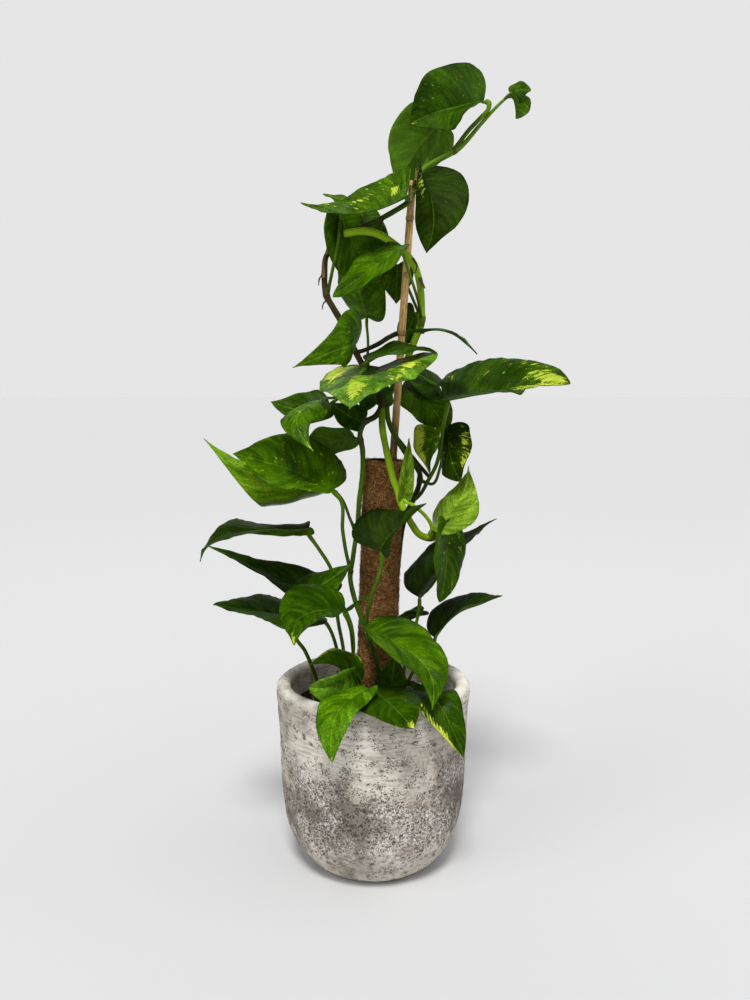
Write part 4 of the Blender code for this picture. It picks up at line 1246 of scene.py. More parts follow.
def ripples(points: np.ndarray, wavelength: float, seed: int, count: int = 10) -> np.ndarray:
    """Smooth irregular noise near -1 to 1: a sum of plane waves in seeded directions.

    Args:
        points: places as (..., 3).
        wavelength: about how far apart the crests are.
        seed: picks the waves.
        count: how many waves are summed.

    Returns:
        One value for each place.
    """
    picked = np.random.default_rng(seed)
    ways = unit(picked.normal(size=(count, 3))) * (2.0 * math.pi / wavelength)
    ways = ways * picked.uniform(0.6, 1.7, (count, 1))
    phase = picked.uniform(0.0, 2.0 * math.pi, count)
    return np.sin(points @ ways.T + phase).sum(axis=-1) / math.sqrt(count)


@dataclass(frozen=True)
class Blade:
    """One leaf's blade as a thin closed shell, in mm.

    vein_sweep is how far the side veins run forward, as a share of the blade. row_step and
    column_step are about how far apart the grid's rows and columns are.
    """

    leaf: Leaf
    look: LeafLook
    seed: int
    thickness: float = 0.7
    edge_thickness: float = 0.25
    rib_rise: float = 0.9
    rib_dip: float = 0.35
    vein_sweep: float = 0.16
    row_step: float = 1.7
    column_step: float = 4.4

    def axes(self) -> tuple[float, np.ndarray, np.ndarray, np.ndarray]:
        """The blade's measure.

        Returns:
            Its length, and its directions to the tip, to the left and upward.
        """
        base, tip = np.array(self.leaf.base, float), np.array(self.leaf.tip, float)
        length = float(np.linalg.norm(tip - base))
        ahead = (tip - base) / length
        face = np.array(self.leaf.face, float)
        upward = unit(face - (face @ ahead) * ahead)
        return length, ahead, np.cross(upward, ahead), upward

    def outline(self, turn: np.ndarray) -> np.ndarray:
        """How wide the blade is at a turn from 0 at the stalk to pi at the tip."""
        return np.sin(turn) * np.cos(turn / 2.0) ** self.leaf.taper

    def middle(self, turn: np.ndarray, side: np.ndarray) -> tuple[np.ndarray, np.ndarray]:
        """The blade's middle surface.

        A turn from 0 at the stalk to pi at the tip gives the place on the midrib and on the
        margin, which starts behind the stalk as a rounded lobe. Side veins join the two. The
        midrib bends over the line from base to tip, and each row stands square to it.

        Args:
            turn: the turns, as a column.
            side: the share of the half width, from -1 at the right margin, as a row.

        Returns:
            The points, and their distance across from the midrib, in mm.
        """
        leaf = self.leaf
        length, ahead, leftward, upward = self.axes()
        # Where each point lies in the flat blade: along the midrib, ahead of it and across.
        share = (1.0 - np.cos(turn)) / 2.0
        rib = share**1.35
        lobe = leaf.lobe * np.clip(np.sin(2.0 * turn), 0.0, None)
        out = np.abs(side)
        reach = length * (share**1.2 - lobe - rib) * out**1.3
        half = 0.5 * leaf.width
        widest = self.outline(np.linspace(0.0, math.pi, 60)).max()
        across = half * self.outline(turn) / widest * side
        # Both halves folded up, their margins drooped and waved, and the row twisted.
        raised = np.radians(np.where(side > 0.0, leaf.fold[0], leaf.fold[1]))
        beat = leaf.width * 0.7 + 2.4 * side + 4.0 * math.pi * share
        height = (
            np.abs(across) * np.sin(raised)
            - leaf.droop * length * (across / half) ** 2
            + leaf.wave * np.sin(beat) * out**2 * np.sin(turn)
        )
        level = across * np.cos(raised)
        angle = np.radians(leaf.twist) * (rib - 0.5)
        sideways = level * np.cos(angle) - height * np.sin(angle)
        height = level * np.sin(angle) + height * np.cos(angle)
        # The midrib's own bend, and each row stood square to it.
        bend = leaf.bow * leftward + leaf.arch * upward
        lean = 1.0 + leaf.hook * (2.0 * rib - 1.0)
        rise = rib * (1.0 - rib) * lean
        slope = (1.0 - 2.0 * rib) * lean + 2.0 * leaf.hook * rib * (1.0 - rib)
        forward = unit(ahead + 4.0 * slope[..., None] * bend)
        up = unit(upward - (forward @ upward)[..., None] * forward)
        points = (
            np.array(leaf.base, float)
            + length * rib[..., None] * ahead
            + 4.0 * length * rise[..., None] * bend
            + reach[..., None] * forward
            + sideways[..., None] * np.cross(up, forward)
            + height[..., None] * up
        )
        return points, across

    def relief(self, points: np.ndarray, turn: np.ndarray, side: np.ndarray) -> np.ndarray:
        """Small rises of the skin: slow waves, and a finer ruffle toward the margin.

        Args:
            points: the middle surface's points.
            turn: their turns, as a column.
            side: their shares of the half width, as a row.

        Returns:
            The rises, in mm.
        """
        size = self.leaf.width / 60.0
        slow = 0.55 * size * ripples(points, 34.0, self.seed)
        ruffle = 0.45 * size * ripples(points, 11.0, self.seed + 500) * np.abs(side) ** 3
        return (slow + ruffle) * np.sin(turn) ** 0.6

    def yellow(self, turn: np.ndarray, side: np.ndarray) -> np.ndarray:
        """How much yellow each place has: the blade's own share and its patches.

        Args:
            turn: the turns, as a column.
            side: the shares of the half width, as a row.

        Returns:
            The amounts, from 0 to 1.
        """
        amount = self.look.fleck + 0.0 * turn * side
        for patch_side, along, reach_side, reach_along, strength in self.look.patches:
            near = ((side - patch_side) / reach_side) ** 2 + ((turn / math.pi - along) / reach_along) ** 2
            amount = np.maximum(amount, strength * np.exp(-near))
        return amount

    def shell(self) -> Shell:
        """The upper and the lower skin, joined along the margin.

        Returns:
            The blade as one shell.
        """
        rows = int(np.clip(self.axes()[0] / self.row_step, 18, 52))
        columns = int(np.clip(self.leaf.width / self.column_step, 6, 14))
        turn = np.linspace(0.0, math.pi, rows + 1)[:, None]
        share = np.linspace(-1.0, 1.0, 2 * columns + 1)[None, :]
        side = np.sign(share) * np.abs(share) ** 1.5
        points, across = self.middle(turn, side)
        normal = np.cross(np.gradient(points, axis=0), np.gradient(points, axis=1))
        normal[0], normal[-1] = normal[1], normal[-2]
        normal = unit(normal)
        points = points + self.relief(points, turn, side)[..., None] * normal
        thick = self.edge_thickness + (self.thickness - self.edge_thickness) * (1.0 - np.abs(side) ** 6)
        # The midrib stands out below and is a shallow groove above.
        ridge = self.rib_rise * (1.0 - turn / math.pi) ** 0.5 * np.exp(-((across / 1.1) ** 2))
        dip = self.rib_dip * np.exp(-((across / 1.2) ** 2)) * np.sin(turn)
        upper = points + (0.5 * thick - dip)[..., None] * normal
        lower = points - (0.5 * thick + ridge)[..., None] * normal
        both = ends_gathered(np.concatenate([upper, lower[:, ::-1]], axis=1))
        # What the skin's material reads, turned over for the underside.
        flat = 0.0 * turn * side
        vein = turn / math.pi - self.vein_sweep * np.abs(side) ** 1.2
        place = np.stack([side + flat, vein, self.seed + flat], -1)
        kept = np.stack([self.yellow(turn, side), flat + self.look.dull, np.abs(across)], -1)
        below = kept.copy()
        below[..., 1] = 1.0
        return Shell(
            both[None],
            place=np.concatenate([place, place[:, ::-1]], axis=1)[None],
            tint=np.array(self.look.green.value),
            mark=np.concatenate([kept, below[:, ::-1]], axis=1)[None],
        )


@dataclass
class Spray:
    """One leafy part: its stems, and its leaves on their stalks, in mm.

    node_reach is how far the swelling round a leaf's start reaches, and node_rise how much
    of the stem's radius it adds. sides is the number of points around a stem.
    """

    name: str
    stems: tuple
    leaves: tuple
    node_reach: float = 2.4
    node_rise: float = 0.22
    sides: int = 14

    def look(self, leaf: Leaf) -> LeafLook:
        """The look of one leaf."""
        return LEAF_LOOKS.get(leaf.name, LeafLook())

    def stalk_points(self, leaf: Leaf) -> np.ndarray:
        """The stalk's smooth path.

        Args:
            leaf: the stalk's leaf.

        Returns:
            The points, the last of which lies just inside the blade.
        """
        _, ahead, _, upward = Blade(leaf, self.look(leaf), 0).axes()
        end = np.array(leaf.base, float) + 1.2 * ahead - 0.5 * upward
        return smooth_path((*leaf.stalk, tuple(end)), 1.5)

    def stem_shell(self, stem: Stem) -> Shell:
        """A stem with a swollen ring at each place where a stalk leaves it.

        Args:
            stem: the stem.

        Returns:
            The stem as one shell.
        """
        path = smooth_path(stem.points, 1.4)
        starts = np.array([leaf.stalk[0] for leaf in self.leaves], float)
        apart = np.linalg.norm(path[:, None] - starts[None], axis=-1)
        near = np.exp(-((apart / self.node_reach) ** 2)).sum(axis=1).clip(0.0, 1.3)
        radius = spread(stem.radius, len(path)) * (1.0 + self.node_rise * near)
        radius = radius * (1.0 + 0.035 * ripples(path, 14.0, len(path)))
        barks = STEM_BARK.get(stem.name, (Bark.DUSK, Bark.MOSS))
        tint = spread(tuple(bark.value for bark in barks), len(path))
        return tubes(path[None], radius[None], self.sides, tint=tint[None], mark=first_mark(near)[None])

    def stalk_shell(self, leaf: Leaf) -> Shell:
        """A leaf stalk: grooved above, wider at its sheath, and swollen below the blade.

        Args:
            leaf: the stalk's leaf.

        Returns:
            The stalk as one shell.
        """
        path = self.stalk_points(leaf)
        reach = arc_lengths(path)
        left = reach[-1] - reach
        sheath, knee = 0.35 * np.exp(-((reach / 7.0) ** 2)), 0.22 * np.exp(-(((left - 5.0) / 5.0) ** 2))
        radius = leaf.stalk_radius * (1.0 + sheath + knee) * np.clip(left / 3.0, 0.55, 1.0)
        groove = 1.0 - 0.16 * np.exp(-(((full_turn(self.sides) - math.pi) / 0.5) ** 2))
        barks = STALK_BARK.get(self.look(leaf).green, (Bark.MOSS, Bark.GREEN))
        tint = spread(tuple(bark.value for bark in barks), len(path))
        mark = first_mark(0.8 * np.exp(-((reach / 4.0) ** 2)))
        return tubes(path[None], radius[None, :, None] * groove, self.sides, tint=tint[None], mark=mark[None])

    def build(self, leaf_skin: bpy.types.Material, stem_skin: bpy.types.Material) -> None:
        """Makes the part's blades and its stems as two pieces.

        Args:
            leaf_skin: the blades' material.
            stem_skin: the stems' material.
        """
        blades = [
            Blade(leaf, self.look(leaf), 11 * number + len(leaf.name)).shell()
            for number, leaf in enumerate(self.leaves)
        ]
        Piece(self.name + "_blades", *blades).make(leaf_skin, "leaf_green", self.name)
        stalks = [*map(self.stem_shell, self.stems), *map(self.stalk_shell, self.leaves)]
        Piece(self.name + "_stems", *stalks).make(stem_skin, "leaf_green", self.name)


@dataclass
class Pot:
    """The cast concrete pot, in mm.

    swells lists the walls' unevenness as (rise, wavelength, seed).
    """

    radius: float = 85.0
    height: float = 165.0
    foot_radius: float = 47.0
    wall: float = 12.0
    floor: float = 14.0
    soil_top: float = 141.0
    columns: int = 320
    pit_count: int = 640
    pit_depth: float = 0.75
    swells: tuple = ((0.35, 42.0, 3), (0.16, 13.0, 4), (0.05, 4.5, 5))

    def inner(self) -> list:
        """The inner side.

        Returns:
            (radius, height) pairs, from the floor up to below the lip.
        """
        top = self.radius - self.wall
        return [
            (top * 0.60, self.floor),
            (top * 0.77, self.floor + 8.0),
            (top * 0.88, self.floor + 22.0),
            (top * 0.95, self.floor + 53.0),
            (top * 0.985, self.soil_top - 5.0),
            (top, self.height * 0.93),
        ]

    def lip(self) -> list:
        """The round lip.

        Returns:
            (radius, height) pairs, from the inner side over to the outer side.
        """
        reach = self.wall / 2.0
        turns = np.radians(np.linspace(180.0, 0.0, 9))
        return [
            (self.radius - reach + reach * math.cos(turn), self.height - reach + reach * math.sin(turn))
            for turn in turns
        ]

    def outer(self) -> list:
        """The outer side.

        Returns:
            (radius, height) pairs, from under the lip down to the foot.
        """
        shape = (
            (0.992, 0.87), (0.976, 0.75), (0.962, 0.5), (0.945, 0.38), (0.918, 0.27), (0.875, 0.19),
            (0.813, 0.125), (0.755, 0.085), (0.702, 0.05), (0.640, 0.022), (0.590, 0.006),
        )
        return [(self.radius * wide, self.height * high) for wide, high in shape]

    def profile(self) -> np.ndarray:
        """The whole section.

        Returns:
            (radius, height) pairs, from the middle of the floor round to the foot's middle.
        """
        wall = [(*point, 0.0) for point in (*self.inner(), *self.lip(), *self.outer())]
        side = smooth_path(tuple(wall), 1.15)[:, :2]
        start = np.array([[0.0, self.floor], [0.3 * self.radius, self.floor]])
        end = np.array([[self.foot_radius, 0.0], [0.5 * self.foot_radius, 0.0], [0.0, 0.0]])
        return np.concatenate([start, side, end])

    def pits(self, points: np.ndarray) -> np.ndarray:
        """How deep in a pit each point lies, from 0 to 1.

        Every pit is a round bowl of its own seeded size at a seeded place on the outer side,
        and they gather in a band below the lip and toward the foot.

        Args:
            points: the pot's points as (rows, columns, 3).

        Returns:
            The depths as (rows, columns).
        """
        picked = np.random.default_rng(7)
        turn = picked.uniform(0.0, 2.0 * math.pi, self.pit_count)
        high = self.height * picked.beta(1.5, 1.8, self.pit_count)
        reach = 0.6 + 2.3 * picked.power(0.34, self.pit_count)
        side = np.array([(self.radius, self.height), *self.outer()])[::-1]
        radius = np.interp(high, side[:, 1], side[:, 0])
        depth = np.zeros(points.shape[:2])
        for place, size in zip(around(radius, turn, high), reach):
            rows = np.abs(points[:, 0, 2] - place[2]) < 2.0 * size
            away = np.linalg.norm((points[rows] - place) * (1.0, 1.0, 1.25), axis=-1)
            depth[rows] = np.maximum(depth[rows], np.clip(1.6 - 1.6 * away / size, 0.0, 1.0))
        return depth

    def build(self) -> None:
        """Makes the pot, with uneven walls and pits pressed into its outer side."""
        points = revolved(self.profile(), self.columns)
        normal = unit(np.cross(np.gradient(points, axis=0), np.roll(points, -1, 1) - np.roll(points, 1, 1)))
        high = points[..., 2]
        wide = np.linalg.norm(points[..., :2], axis=-1)
        outside = (wide > self.radius - 5.0) | (np.gradient(high, axis=0) < -0.05)
        loose = np.clip(high / 8.0, 0.0, 1.0) * (wide > 1.0)
        uneven = sum(rise * ripples(points, wavelength, seed) for rise, wavelength, seed in self.swells)
        pit = self.pits(points) * outside * loose
        points = points + ((uneven * loose * outside) - self.pit_depth * pit)[..., None] * normal
        # The top of the lip, where the pale lip colour goes: partly the rim's own finish, partly a painted
        # highlight on its lit top.
        patchy = np.clip(0.75 + 0.3 * ripples(points, 24.0, 6), 0, 1)
        lip = np.clip((high - self.height + 7.0) / 6.0, 0.0, 1.0) * patchy
        band = np.exp(-(((high - 62.0) / 30.0) ** 2))
        body = Shell(points[None], mark=np.stack([pit, band, lip], -1)[None])
        Piece("pot_body", body).make(ConcreteFinish().material(), "concrete", "pot")


@dataclass
class Soil:
    """The potting mix: a rough low mound with loose bits on it, in mm.

    bit_rows and bit_columns are the points on a bit, from its top down and around.
    """

    pot: Pot
    radius: float = 71.0
    mound: float = 3.0
    gap: float = 0.3
    rings: int = 60
    columns: int = 170
    bit_count: int = 420
    bit_rows: int = 7
    bit_columns: int = 8
    perlite_count: int = 46
    perlite: Triple = srgb(206, 200, 186)
    dark_bark: Triple = srgb(44, 32, 24)
    pale_bark: Triple = srgb(96, 68, 44)

    def surface(self, wide: np.ndarray) -> np.ndarray:
        """The soil's height at a distance from the middle, without its crumb."""
        return self.pot.soil_top + self.mound * (1.0 - (wide / self.radius) ** 2)

    def bits(self) -> Shell:
        """Bark, fibre and perlite: rounded angular lumps of seeded sizes strewn on the soil.

        Returns:
            The bits as one shell.
        """
        picked = np.random.default_rng(21)
        count = self.bit_count
        wide = (self.radius - 2.0) * np.sqrt(picked.uniform(0.0, 1.0, count))
        turn = picked.uniform(0.0, 2.0 * math.pi, count)
        size = picked.uniform(0.8, 2.6, (count, 1, 1, 3)) * np.array([1.2, 1.0, 0.6])
        down = np.linspace(0.0, math.pi, self.bit_rows)[:, None]
        ball = around(np.sin(down), full_turn(self.bit_columns), np.cos(down))
        dents = picked.normal(size=(count, self.bit_rows, self.bit_columns, 1)).clip(-1.5, 1.5)
        lumps = ball[None] * (1.0 + 0.22 * dents) * size
        twist = picked.uniform(0.0, math.pi, count)[:, None, None]
        x = lumps[..., 0] * np.cos(twist) - lumps[..., 1] * np.sin(twist)
        y = lumps[..., 0] * np.sin(twist) + lumps[..., 1] * np.cos(twist)
        lumps = ends_gathered(np.stack([x, y, lumps[..., 2]], -1))
        centre = around(wide, turn, self.surface(wide) + 0.4)
        kind = picked.uniform(size=(count, 1))
        bark = np.where(kind < 0.6, self.dark_bark, self.pale_bark)
        colours = np.where(kind < self.perlite_count / count, self.perlite, bark)
        tint = np.broadcast_to(colours[:, None, None, :], lumps.shape)
        return Shell(lumps + centre[:, None, None, :], tint=tint)

    def build(self) -> None:
        """Makes the mix and the bits on it."""
        wall = [(radius - self.gap, high + self.gap) for radius, high in self.pot.inner()]
        wall = [point for point in wall if point[1] < self.pot.soil_top - 3.0]
        wide = np.linspace(0.0, self.radius, self.rings)
        top = np.stack([wide, self.surface(wide)], -1)
        side = np.array(wall[::-1] + [(0.0, self.pot.floor + self.gap)])
        points = revolved(np.concatenate([top, side]), self.columns)
        crumb = 0.8 * ripples(points, 9.0, 8) + 0.5 * ripples(points, 3.6, 9, 16)
        loose = slice(1, self.rings - 2)
        points[loose, :, 2] += crumb[loose]
        Piece("soil_mix", Shell(points[None])).make(PottingMixFinish().material(), "potting_mix", "soil")
        grit = GritFinish("perlite_and_bark").material()
        Piece("soil_bits", self.bits()).make(grit, "potting_mix", "soil")


@dataclass
class Pole:
    """The coir pole: a fibre mat round a stiff tube, bound with thread, in mm.

    lean is how far the pole leans to the right for each mm up. mat_rows, inner_rows and
    columns are the mat's points down its outer side, up its inner side and around, and
    fibre_rows those along a fibre.
    """

    foot: Triple = (-0.6, 5.0, 58.0)
    lean: float = 0.032
    length: float = 301.0
    radius: float = 17.5
    mat: float = 2.7
    mat_rows: int = 190
    inner_rows: int = 12
    columns: int = 110
    fibre_count: int = 4500
    stray_count: int = 700
    fibre_rows: int = 6
    dark_fibre: Triple = srgb(96, 63, 31)
    pale_fibre: Triple = srgb(232, 182, 118)
    thread_pitch: float = 27.0
    thread_radius: float = 0.3
    thread_brown: Triple = srgb(104, 72, 44)

    def lifted(self, points: np.ndarray) -> np.ndarray:
        """Points leaned toward +X about the pole's foot and set in place.

        Args:
            points: the points about the pole's own axis.

        Returns:
            The points in the plant's frame.
        """
        turn = math.atan(self.lean)
        x = points[..., 0] * math.cos(turn) + points[..., 2] * math.sin(turn)
        z = points[..., 2] * math.cos(turn) - points[..., 0] * math.sin(turn)
        return np.stack([x, points[..., 1], z], -1) + np.array(self.foot)

    def mat_shell(self) -> Shell:
        """The mat: a thick sleeve whose outer side is lumpy.

        Returns:
            The mat as one shell.
        """
        down = np.linspace(self.length, 0.0, self.mat_rows)
        up = np.linspace(0.0, self.length, self.inner_rows)
        outside = np.stack([np.full(len(down), self.radius), down], -1)
        inside = np.stack([np.full(len(up), self.radius - self.mat), up], -1)
        points = revolved(np.concatenate([outside, inside]), self.columns)
        normal = unit(points * (1.0, 1.0, 0.0))
        lumps = 0.22 * ripples(points, 9.0, 31, 14) + 0.12 * ripples(points * (1, 1, 0.4), 3.2, 32, 18)
        lumps[self.mat_rows:] = 0.0
        return Shell(self.lifted(points + (lumps - 0.15)[..., None] * normal)[None], looped=True)

    def fibres(self) -> Shell:
        """Fibres that lie on the mat.

        Each is an arc on the cylinder with a seeded start, heading and bend, and bows a
        little off it between its two ends. One that would pass the brim turns back down.

        Returns:
            The fibres as one shell.
        """
        picked = np.random.default_rng(33)
        count = self.fibre_count
        along = np.linspace(0.0, 1.0, self.fibre_rows)
        length = picked.uniform(4.0, 17.0, (count, 1))
        heading = picked.normal(0.3, 0.95, (count, 1)) + math.pi * picked.integers(0, 2, (count, 1))
        bend = picked.normal(0.0, 1.3, (count, 1))
        way = heading + bend * (along - 0.5)
        level = np.cumsum(np.cos(way), axis=1) / self.fibre_rows * length
        rise = np.cumsum(np.sin(way), axis=1) / self.fibre_rows * length
        high = picked.uniform(0.0, self.length, (count, 1)) + rise
        brim = self.length + 1.2
        high = np.clip(brim - np.abs(brim - high), 0.5, None)
        turn = picked.uniform(0.0, 2.0 * math.pi, (count, 1)) + level / self.radius
        out = self.radius - 0.05 + picked.uniform(0.0, 1.0, (count, 1)) * np.sin(math.pi * along)
        thick = picked.uniform(0.08, 0.2, (count, 1)) * np.sin(math.pi * (0.12 + 0.8 * along))
        return self.hairs(around(out, turn, high), thick, picked)

    def strays(self) -> Shell:
        """Short loose hairs that stand out of the mat and curl.

        Returns:
            The hairs as one shell.
        """
        picked = np.random.default_rng(34)
        each = (self.stray_count, 1)
        along = np.linspace(0.0, 1.0, self.fibre_rows)
        turn = picked.uniform(0.0, 2.0 * math.pi, each) + picked.normal(0.0, 0.25, each) * along
        high = picked.uniform(85.0, self.length + 1.0, each) + picked.normal(0.0, 3.5, each) * along
        out = self.radius - 0.3 + picked.uniform(0.5, 2.6, each) * np.sin(1.9 * along)
        thick = 0.1 * (1.05 - along) + 0.0 * turn
        return self.hairs(around(out, turn, high), thick, picked)

    def hairs(self, paths: np.ndarray, thick: np.ndarray, picked: np.random.Generator) -> Shell:
        """Fibres along paths, each in a seeded brown of its own.

        Args:
            paths: points about the pole's own axis, as (fibres, rows, 3).
            thick: the fibres' radii, as (fibres, rows).
            picked: the numbers that the browns are drawn from.

        Returns:
            The fibres as one shell.
        """
        share = picked.uniform(0.0, 1.0, (len(paths), 1, 1)) ** 1.2
        dark, pale = np.array(self.dark_fibre), np.array(self.pale_fibre)
        tint = np.broadcast_to(dark + (pale - dark) * share, paths.shape)
        return tubes(self.lifted(paths), thick, 3, tint=tint)

    def threads(self) -> Shell:
        """The two binding threads, which wind round the mat in opposite directions.

        Returns:
            The threads as one shell.
        """
        high = np.linspace(4.0, self.length - 3.0, 460)[None, :]
        ways = np.array([[1.0], [-1.0]])
        wander = 0.12 * np.sin(high / 11.0 + ways)
        turn = ways * 2.0 * math.pi * high / self.thread_pitch + wander + 0.6
        paths = around(self.radius + 0.25, turn, high)
        tint = np.broadcast_to(np.array(self.thread_brown), paths.shape)
        return tubes(self.lifted(paths), np.full(turn.shape, self.thread_radius), 4, tint=tint)

    def build(self) -> None:
        """Makes the mat and the fibres on it, and finishes the tube inside."""
        Piece("coir_mat", self.mat_shell()).make(CoirFinish().material(), "coir", "coir_wrap")
        hair = Piece("coir_fibres", self.fibres(), self.strays(), self.threads())
        hair.make(GritFinish("coir_fibre").material(), "coir", "coir_wrap")
        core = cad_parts["pole_core"]
        core.material_slots[0].material = PlasticFinish().material()


@dataclass
class Cane:
    """The bamboo cane, in mm.

    knots are the heights of its knots. It turns from red to tan above pale_from.
    """

    foot: Triple = (-3.0, 5.0, 62.5)
    top: Triple = (33.0, 7.0, 593.0)
    radius: float = 3.3
    knots: tuple = (150.0, 258.0, 360.0, 468.0, 563.0)
    pale_from: float = 380.0
    rows: int = 520
    sides: int = 28

    def build(self) -> None:
        """Makes the cane: a straight tube, thinner upward, with a ridge and a scar at each knot."""
        foot, top = np.array(self.foot), np.array(self.top)
        along = np.linspace(0.0, 1.0, self.rows)
        path = foot + along[:, None] * (top - foot)
        high = path[:, 2]
        knot = sum(np.exp(-(((high - place) / 1.5) ** 2)) for place in self.knots)
        scar = sum(np.exp(-(((high - place + 2.6) / 0.9) ** 2)) for place in self.knots)
        radius = self.radius * (1.0 - 0.03 * along) + 0.5 * knot - 0.22 * scar
        turn = full_turn(self.sides)
        fluted = 1.0 + 0.012 * np.sin(9.0 * turn) + 0.01 * np.sin(5.0 * turn + 1.0)
        pale = np.clip((high - self.pale_from) / 60.0, 0.0, 1.0)
        mark = np.stack([pale, np.clip(0.6 * knot + scar, 0, 1), 0 * high], -1)
        tube = tubes(path[None], radius[None, :, None] * fluted, self.sides, mark=mark[None])
        Piece("bamboo_cane", tube).make(BambooFinish().material(), "bamboo", "cane")


@dataclass
class VineDetails:
    """Small parts of the vine: aerial roots and dry sheaths, in mm.

    roots lists each root's points, and sheaths each sheath's start, end, width and the turn
    of its middle about the stem.
    """

    roots: tuple = (
        ((9, -4, 561), (6, -5, 555), (5, -5, 548), (8, -4, 541)),
        ((33, -12, 527), (36, -14, 521), (35, -14, 515)),
        ((13, -15, 540), (9, -17, 534), (4, -17, 530), (2, -16, 526)),
        ((-41, -1, 517), (-45, -3, 512), (-46, -4, 506)),
        ((-38, -2, 495), (-42, -4, 491), (-43, -5, 486)),
        ((22, -14, 352), (28, -15, 341), (33, -14, 332)),
    )
    sheaths: tuple = (
        ((-38, -4, 531), (-34, -5, 545), 5.0, 0.4),
        ((31, -8, 573), (33, -7, 586), 4.4, 0.9),
        ((-41, -2, 512), (-39, -3, 526), 4.6, 0.5),
        ((36, -6, 590), (38, -5, 600), 4.0, 0.2),
        ((38, 0, 515), (41, -1, 503), 4.6, 0.3),
    )
    root_brown: Triple = srgb(62, 46, 34)
    sheath_browns: tuple = (srgb(98, 84, 50), srgb(146, 120, 84))

    def root_shell(self, number: int, points: tuple) -> Shell:
        """One aerial root: a thin tube that tapers to its tip.

        Args:
            number: the root's number, which picks its lumps.
            points: the points that it runs through.

        Returns:
            The root as one shell.
        """
        path = smooth_path(points, 0.8)
        along = np.linspace(0.0, 1.0, len(path))
        radius = (0.95 - 0.6 * along) * (1.0 + 0.1 * ripples(path, 3.0, number))
        tint = np.broadcast_to(np.array(self.root_brown), path.shape)
        worn = first_mark(0.6 + 0.0 * along)
        return tubes(path[None], radius[None], 8, tint=tint[None], mark=worn[None])

    def sheath_shell(self, number: int, start: tuple, end: tuple, wide: float, turn: float) -> Shell:
        """One dry sheath: a strip that is curled round the stem and narrows to a point at its tip.

        Across the strip the points run round an arc, and the arc opens and narrows upward.

        Args:
            number: the sheath's number, which picks its crumples and its brown.
            start: where it leaves the stem.
            end: its tip.
            wide: how wide it is.
            turn: the turn of its middle about the stem, in radians.

        Returns:
            The sheath as one shell.
        """
        start, end = np.array(start, float), np.array(end, float)
        along = np.linspace(0.0, 1.0, 22)[:, None]
        side = np.linspace(-1.0, 1.0, 13)[None, :]
        axis = unit(end - start)
        across = unit(np.cross(axis, (0.3, 1.0, 0.1)))
        beside = np.cross(axis, across)
        arc = turn + side * 1.5 * (1.0 - 0.75 * along**1.5)
        reach = 0.5 * wide * (1.0 + 0.5 * along**2)
        sheet = (
            start
            + (along * np.linalg.norm(end - start))[..., None] * axis
            + (reach * np.cos(arc))[..., None] * across
            + (reach * np.sin(arc))[..., None] * beside
        )
        sheet = sheet + 0.25 * ripples(sheet, 6.0, 60 + number)[..., None] * across
        normal = unit(np.cross(np.gradient(sheet, axis=0), np.gradient(sheet, axis=1)))
        both = np.concatenate([sheet + 0.1 * normal, (sheet - 0.1 * normal)[:, ::-1]], axis=1)
        both = ends_gathered(np.concatenate([both[:1], both, both[-1:]]))
        place = np.stack(np.broadcast_arrays(side, along, float(number)), -1)
        place = np.concatenate([place, place[:, ::-1]], axis=1)
        place = np.concatenate([place[:1], place, place[-1:]])
        return Shell(both[None], place=place[None], tint=np.array(self.sheath_browns[number % 2]))

    def build(self, stem_skin: bpy.types.Material) -> None:
        """Makes the roots and the sheaths.

        Args:
            stem_skin: the roots' material.
        """
        roots = [self.root_shell(number, points) for number, points in enumerate(self.roots)]
        Piece("aerial_roots", *roots).make(stem_skin, "leaf_green")
        sheaths = [self.sheath_shell(number, *sheath) for number, sheath in enumerate(self.sheaths)]
        Piece("dry_sheaths", *sheaths).make(PaperFinish().material(), "leaf_green")


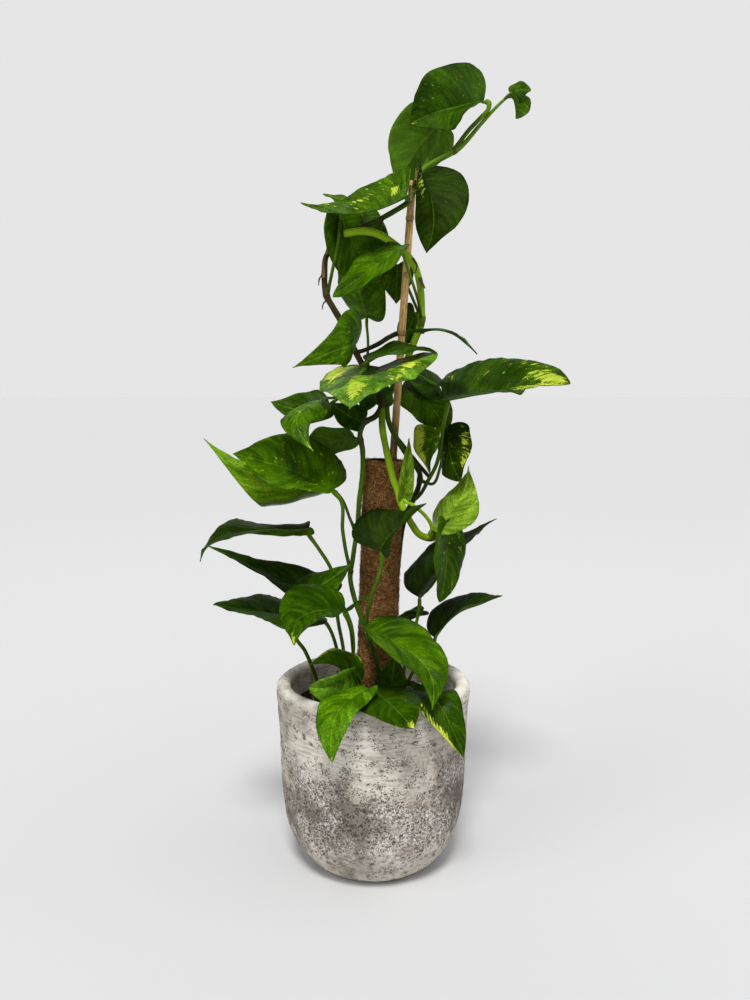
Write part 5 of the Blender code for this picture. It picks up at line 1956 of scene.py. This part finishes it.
@dataclass
class Studio:
    """The camera at the photograph's angle, the lights and the pale floor, in metres.

    lamps lists each light's name, how far it stands to the right of the camera and how high,
    in degrees, its strength, and how wide it looks, in degrees.
    """

    camera_place: Triple = (0.0015, -0.776, 0.418)
    pitch: float = math.radians(6.9)
    lens: float = 32.4
    floor_reach: float = 60.0
    room_light: float = 0.22
    backdrop: float = 0.79
    floor_shades: tuple = ((0.592, 0.592, 0.597), (0.566, 0.566, 0.57))
    lamps: tuple = (
        ("key_light", -4.0, 58.0, 2.6, 14.0),
        ("left_light", -52.0, 34.0, 0.8, 40.0),
        ("right_light", 52.0, 34.0, 0.9, 90.0),
        ("back_light", 170.0, 60.0, 0.5, 90.0),
    )

    def camera(self) -> None:
        """Makes the camera."""
        data = bpy.data.cameras.new("camera")
        data.lens = self.lens
        data.sensor_width = 36.0
        data.clip_start, data.clip_end = 0.01, 100.0
        made = bpy.data.objects.new("camera", data)
        made.location = self.camera_place
        made.rotation_euler = (math.pi / 2.0 - self.pitch, 0.0, 0.0)
        bpy.context.scene.collection.objects.link(made)
        bpy.context.scene.camera = made

    def lamp(self, name: str, turn: float, rise: float, power: float, soft: float) -> None:
        """Makes one broad soft light, so far off that its rays are parallel.

        Args:
            name: its name.
            turn: how far it stands to the right of the camera, in degrees.
            rise: how high it stands, in degrees.
            power: its strength.
            soft: how wide it looks, in degrees.
        """
        data = bpy.data.lights.new(name, "SUN")
        data.energy = power
        data.angle = math.radians(soft)
        made = bpy.data.objects.new(name, data)
        made.rotation_euler = (math.radians(90.0 - rise), 0.0, math.radians(turn))
        bpy.context.scene.collection.objects.link(made)

    def floor(self) -> None:
        """Makes the pale floor, a little darker far off."""
        reach = self.floor_reach
        corners = [(-reach, -reach, 0.0), (reach, -reach, 0.0), (reach, reach, 0.0), (-reach, reach, 0.0)]
        mesh = bpy.data.meshes.new("floor")
        mesh.from_pydata(corners, [], [(0, 1, 2, 3)])
        graph = Graph("pale_floor")
        sides = [graph.maths("POWER", graph.part(graph.place(), axis), 2.0) for axis in "XY"]
        far = graph.step(graph.maths("SQRT", graph.plus(*sides)), 0.3, 4.0)
        shade = graph.mixed(far, *self.floor_shades)
        mesh.materials.append(graph.finish(base_color=shade, roughness=0.95, specular_ior_level=0.0))
        made = bpy.data.objects.new("floor", mesh)
        bpy.context.scene.collection.objects.link(made)

    def sky(self) -> None:
        """Makes the surroundings: pale behind the plant, and dimmer as they light it."""
        world = bpy.data.worlds.new("surroundings")
        world.use_nodes = True
        tree = world.node_tree
        seen = tree.nodes.new("ShaderNodeLightPath").outputs["Is Camera Ray"]
        level = tree.nodes.new("ShaderNodeMapRange")
        level.inputs["To Min"].default_value = self.room_light
        level.inputs["To Max"].default_value = self.backdrop
        shade = tree.nodes["Background"]
        shade.inputs["Color"].default_value = (1.0, 1.0, 1.0, 1.0)
        tree.links.new(seen, level.inputs["Value"])
        tree.links.new(level.outputs[0], shade.inputs["Strength"])
        bpy.context.scene.world = world

    def build(self) -> None:
        """Makes the whole studio."""
        self.camera()
        self.sky()
        self.floor()
        for lamp in self.lamps:
            self.lamp(*lamp)
        bpy.context.scene.view_settings.view_transform = "Standard"


def main() -> None:
    """Builds the studio and then every piece of the plant."""
    logging.basicConfig(level=logging.INFO, format="%(name)s %(message)s")
    Studio().build()
    pot = Pot()
    pot.build()
    Soil(pot).build()
    Pole().build()
    Cane().build()
    leaf_skin = LeafFinish().material()
    stem_skin = StemFinish().material()
    for name, stems, leaves in SPRAYS:
        Spray(name, stems, leaves).build(leaf_skin, stem_skin)
    VineDetails().build(stem_skin)


if __name__ == "__main__":
    main()
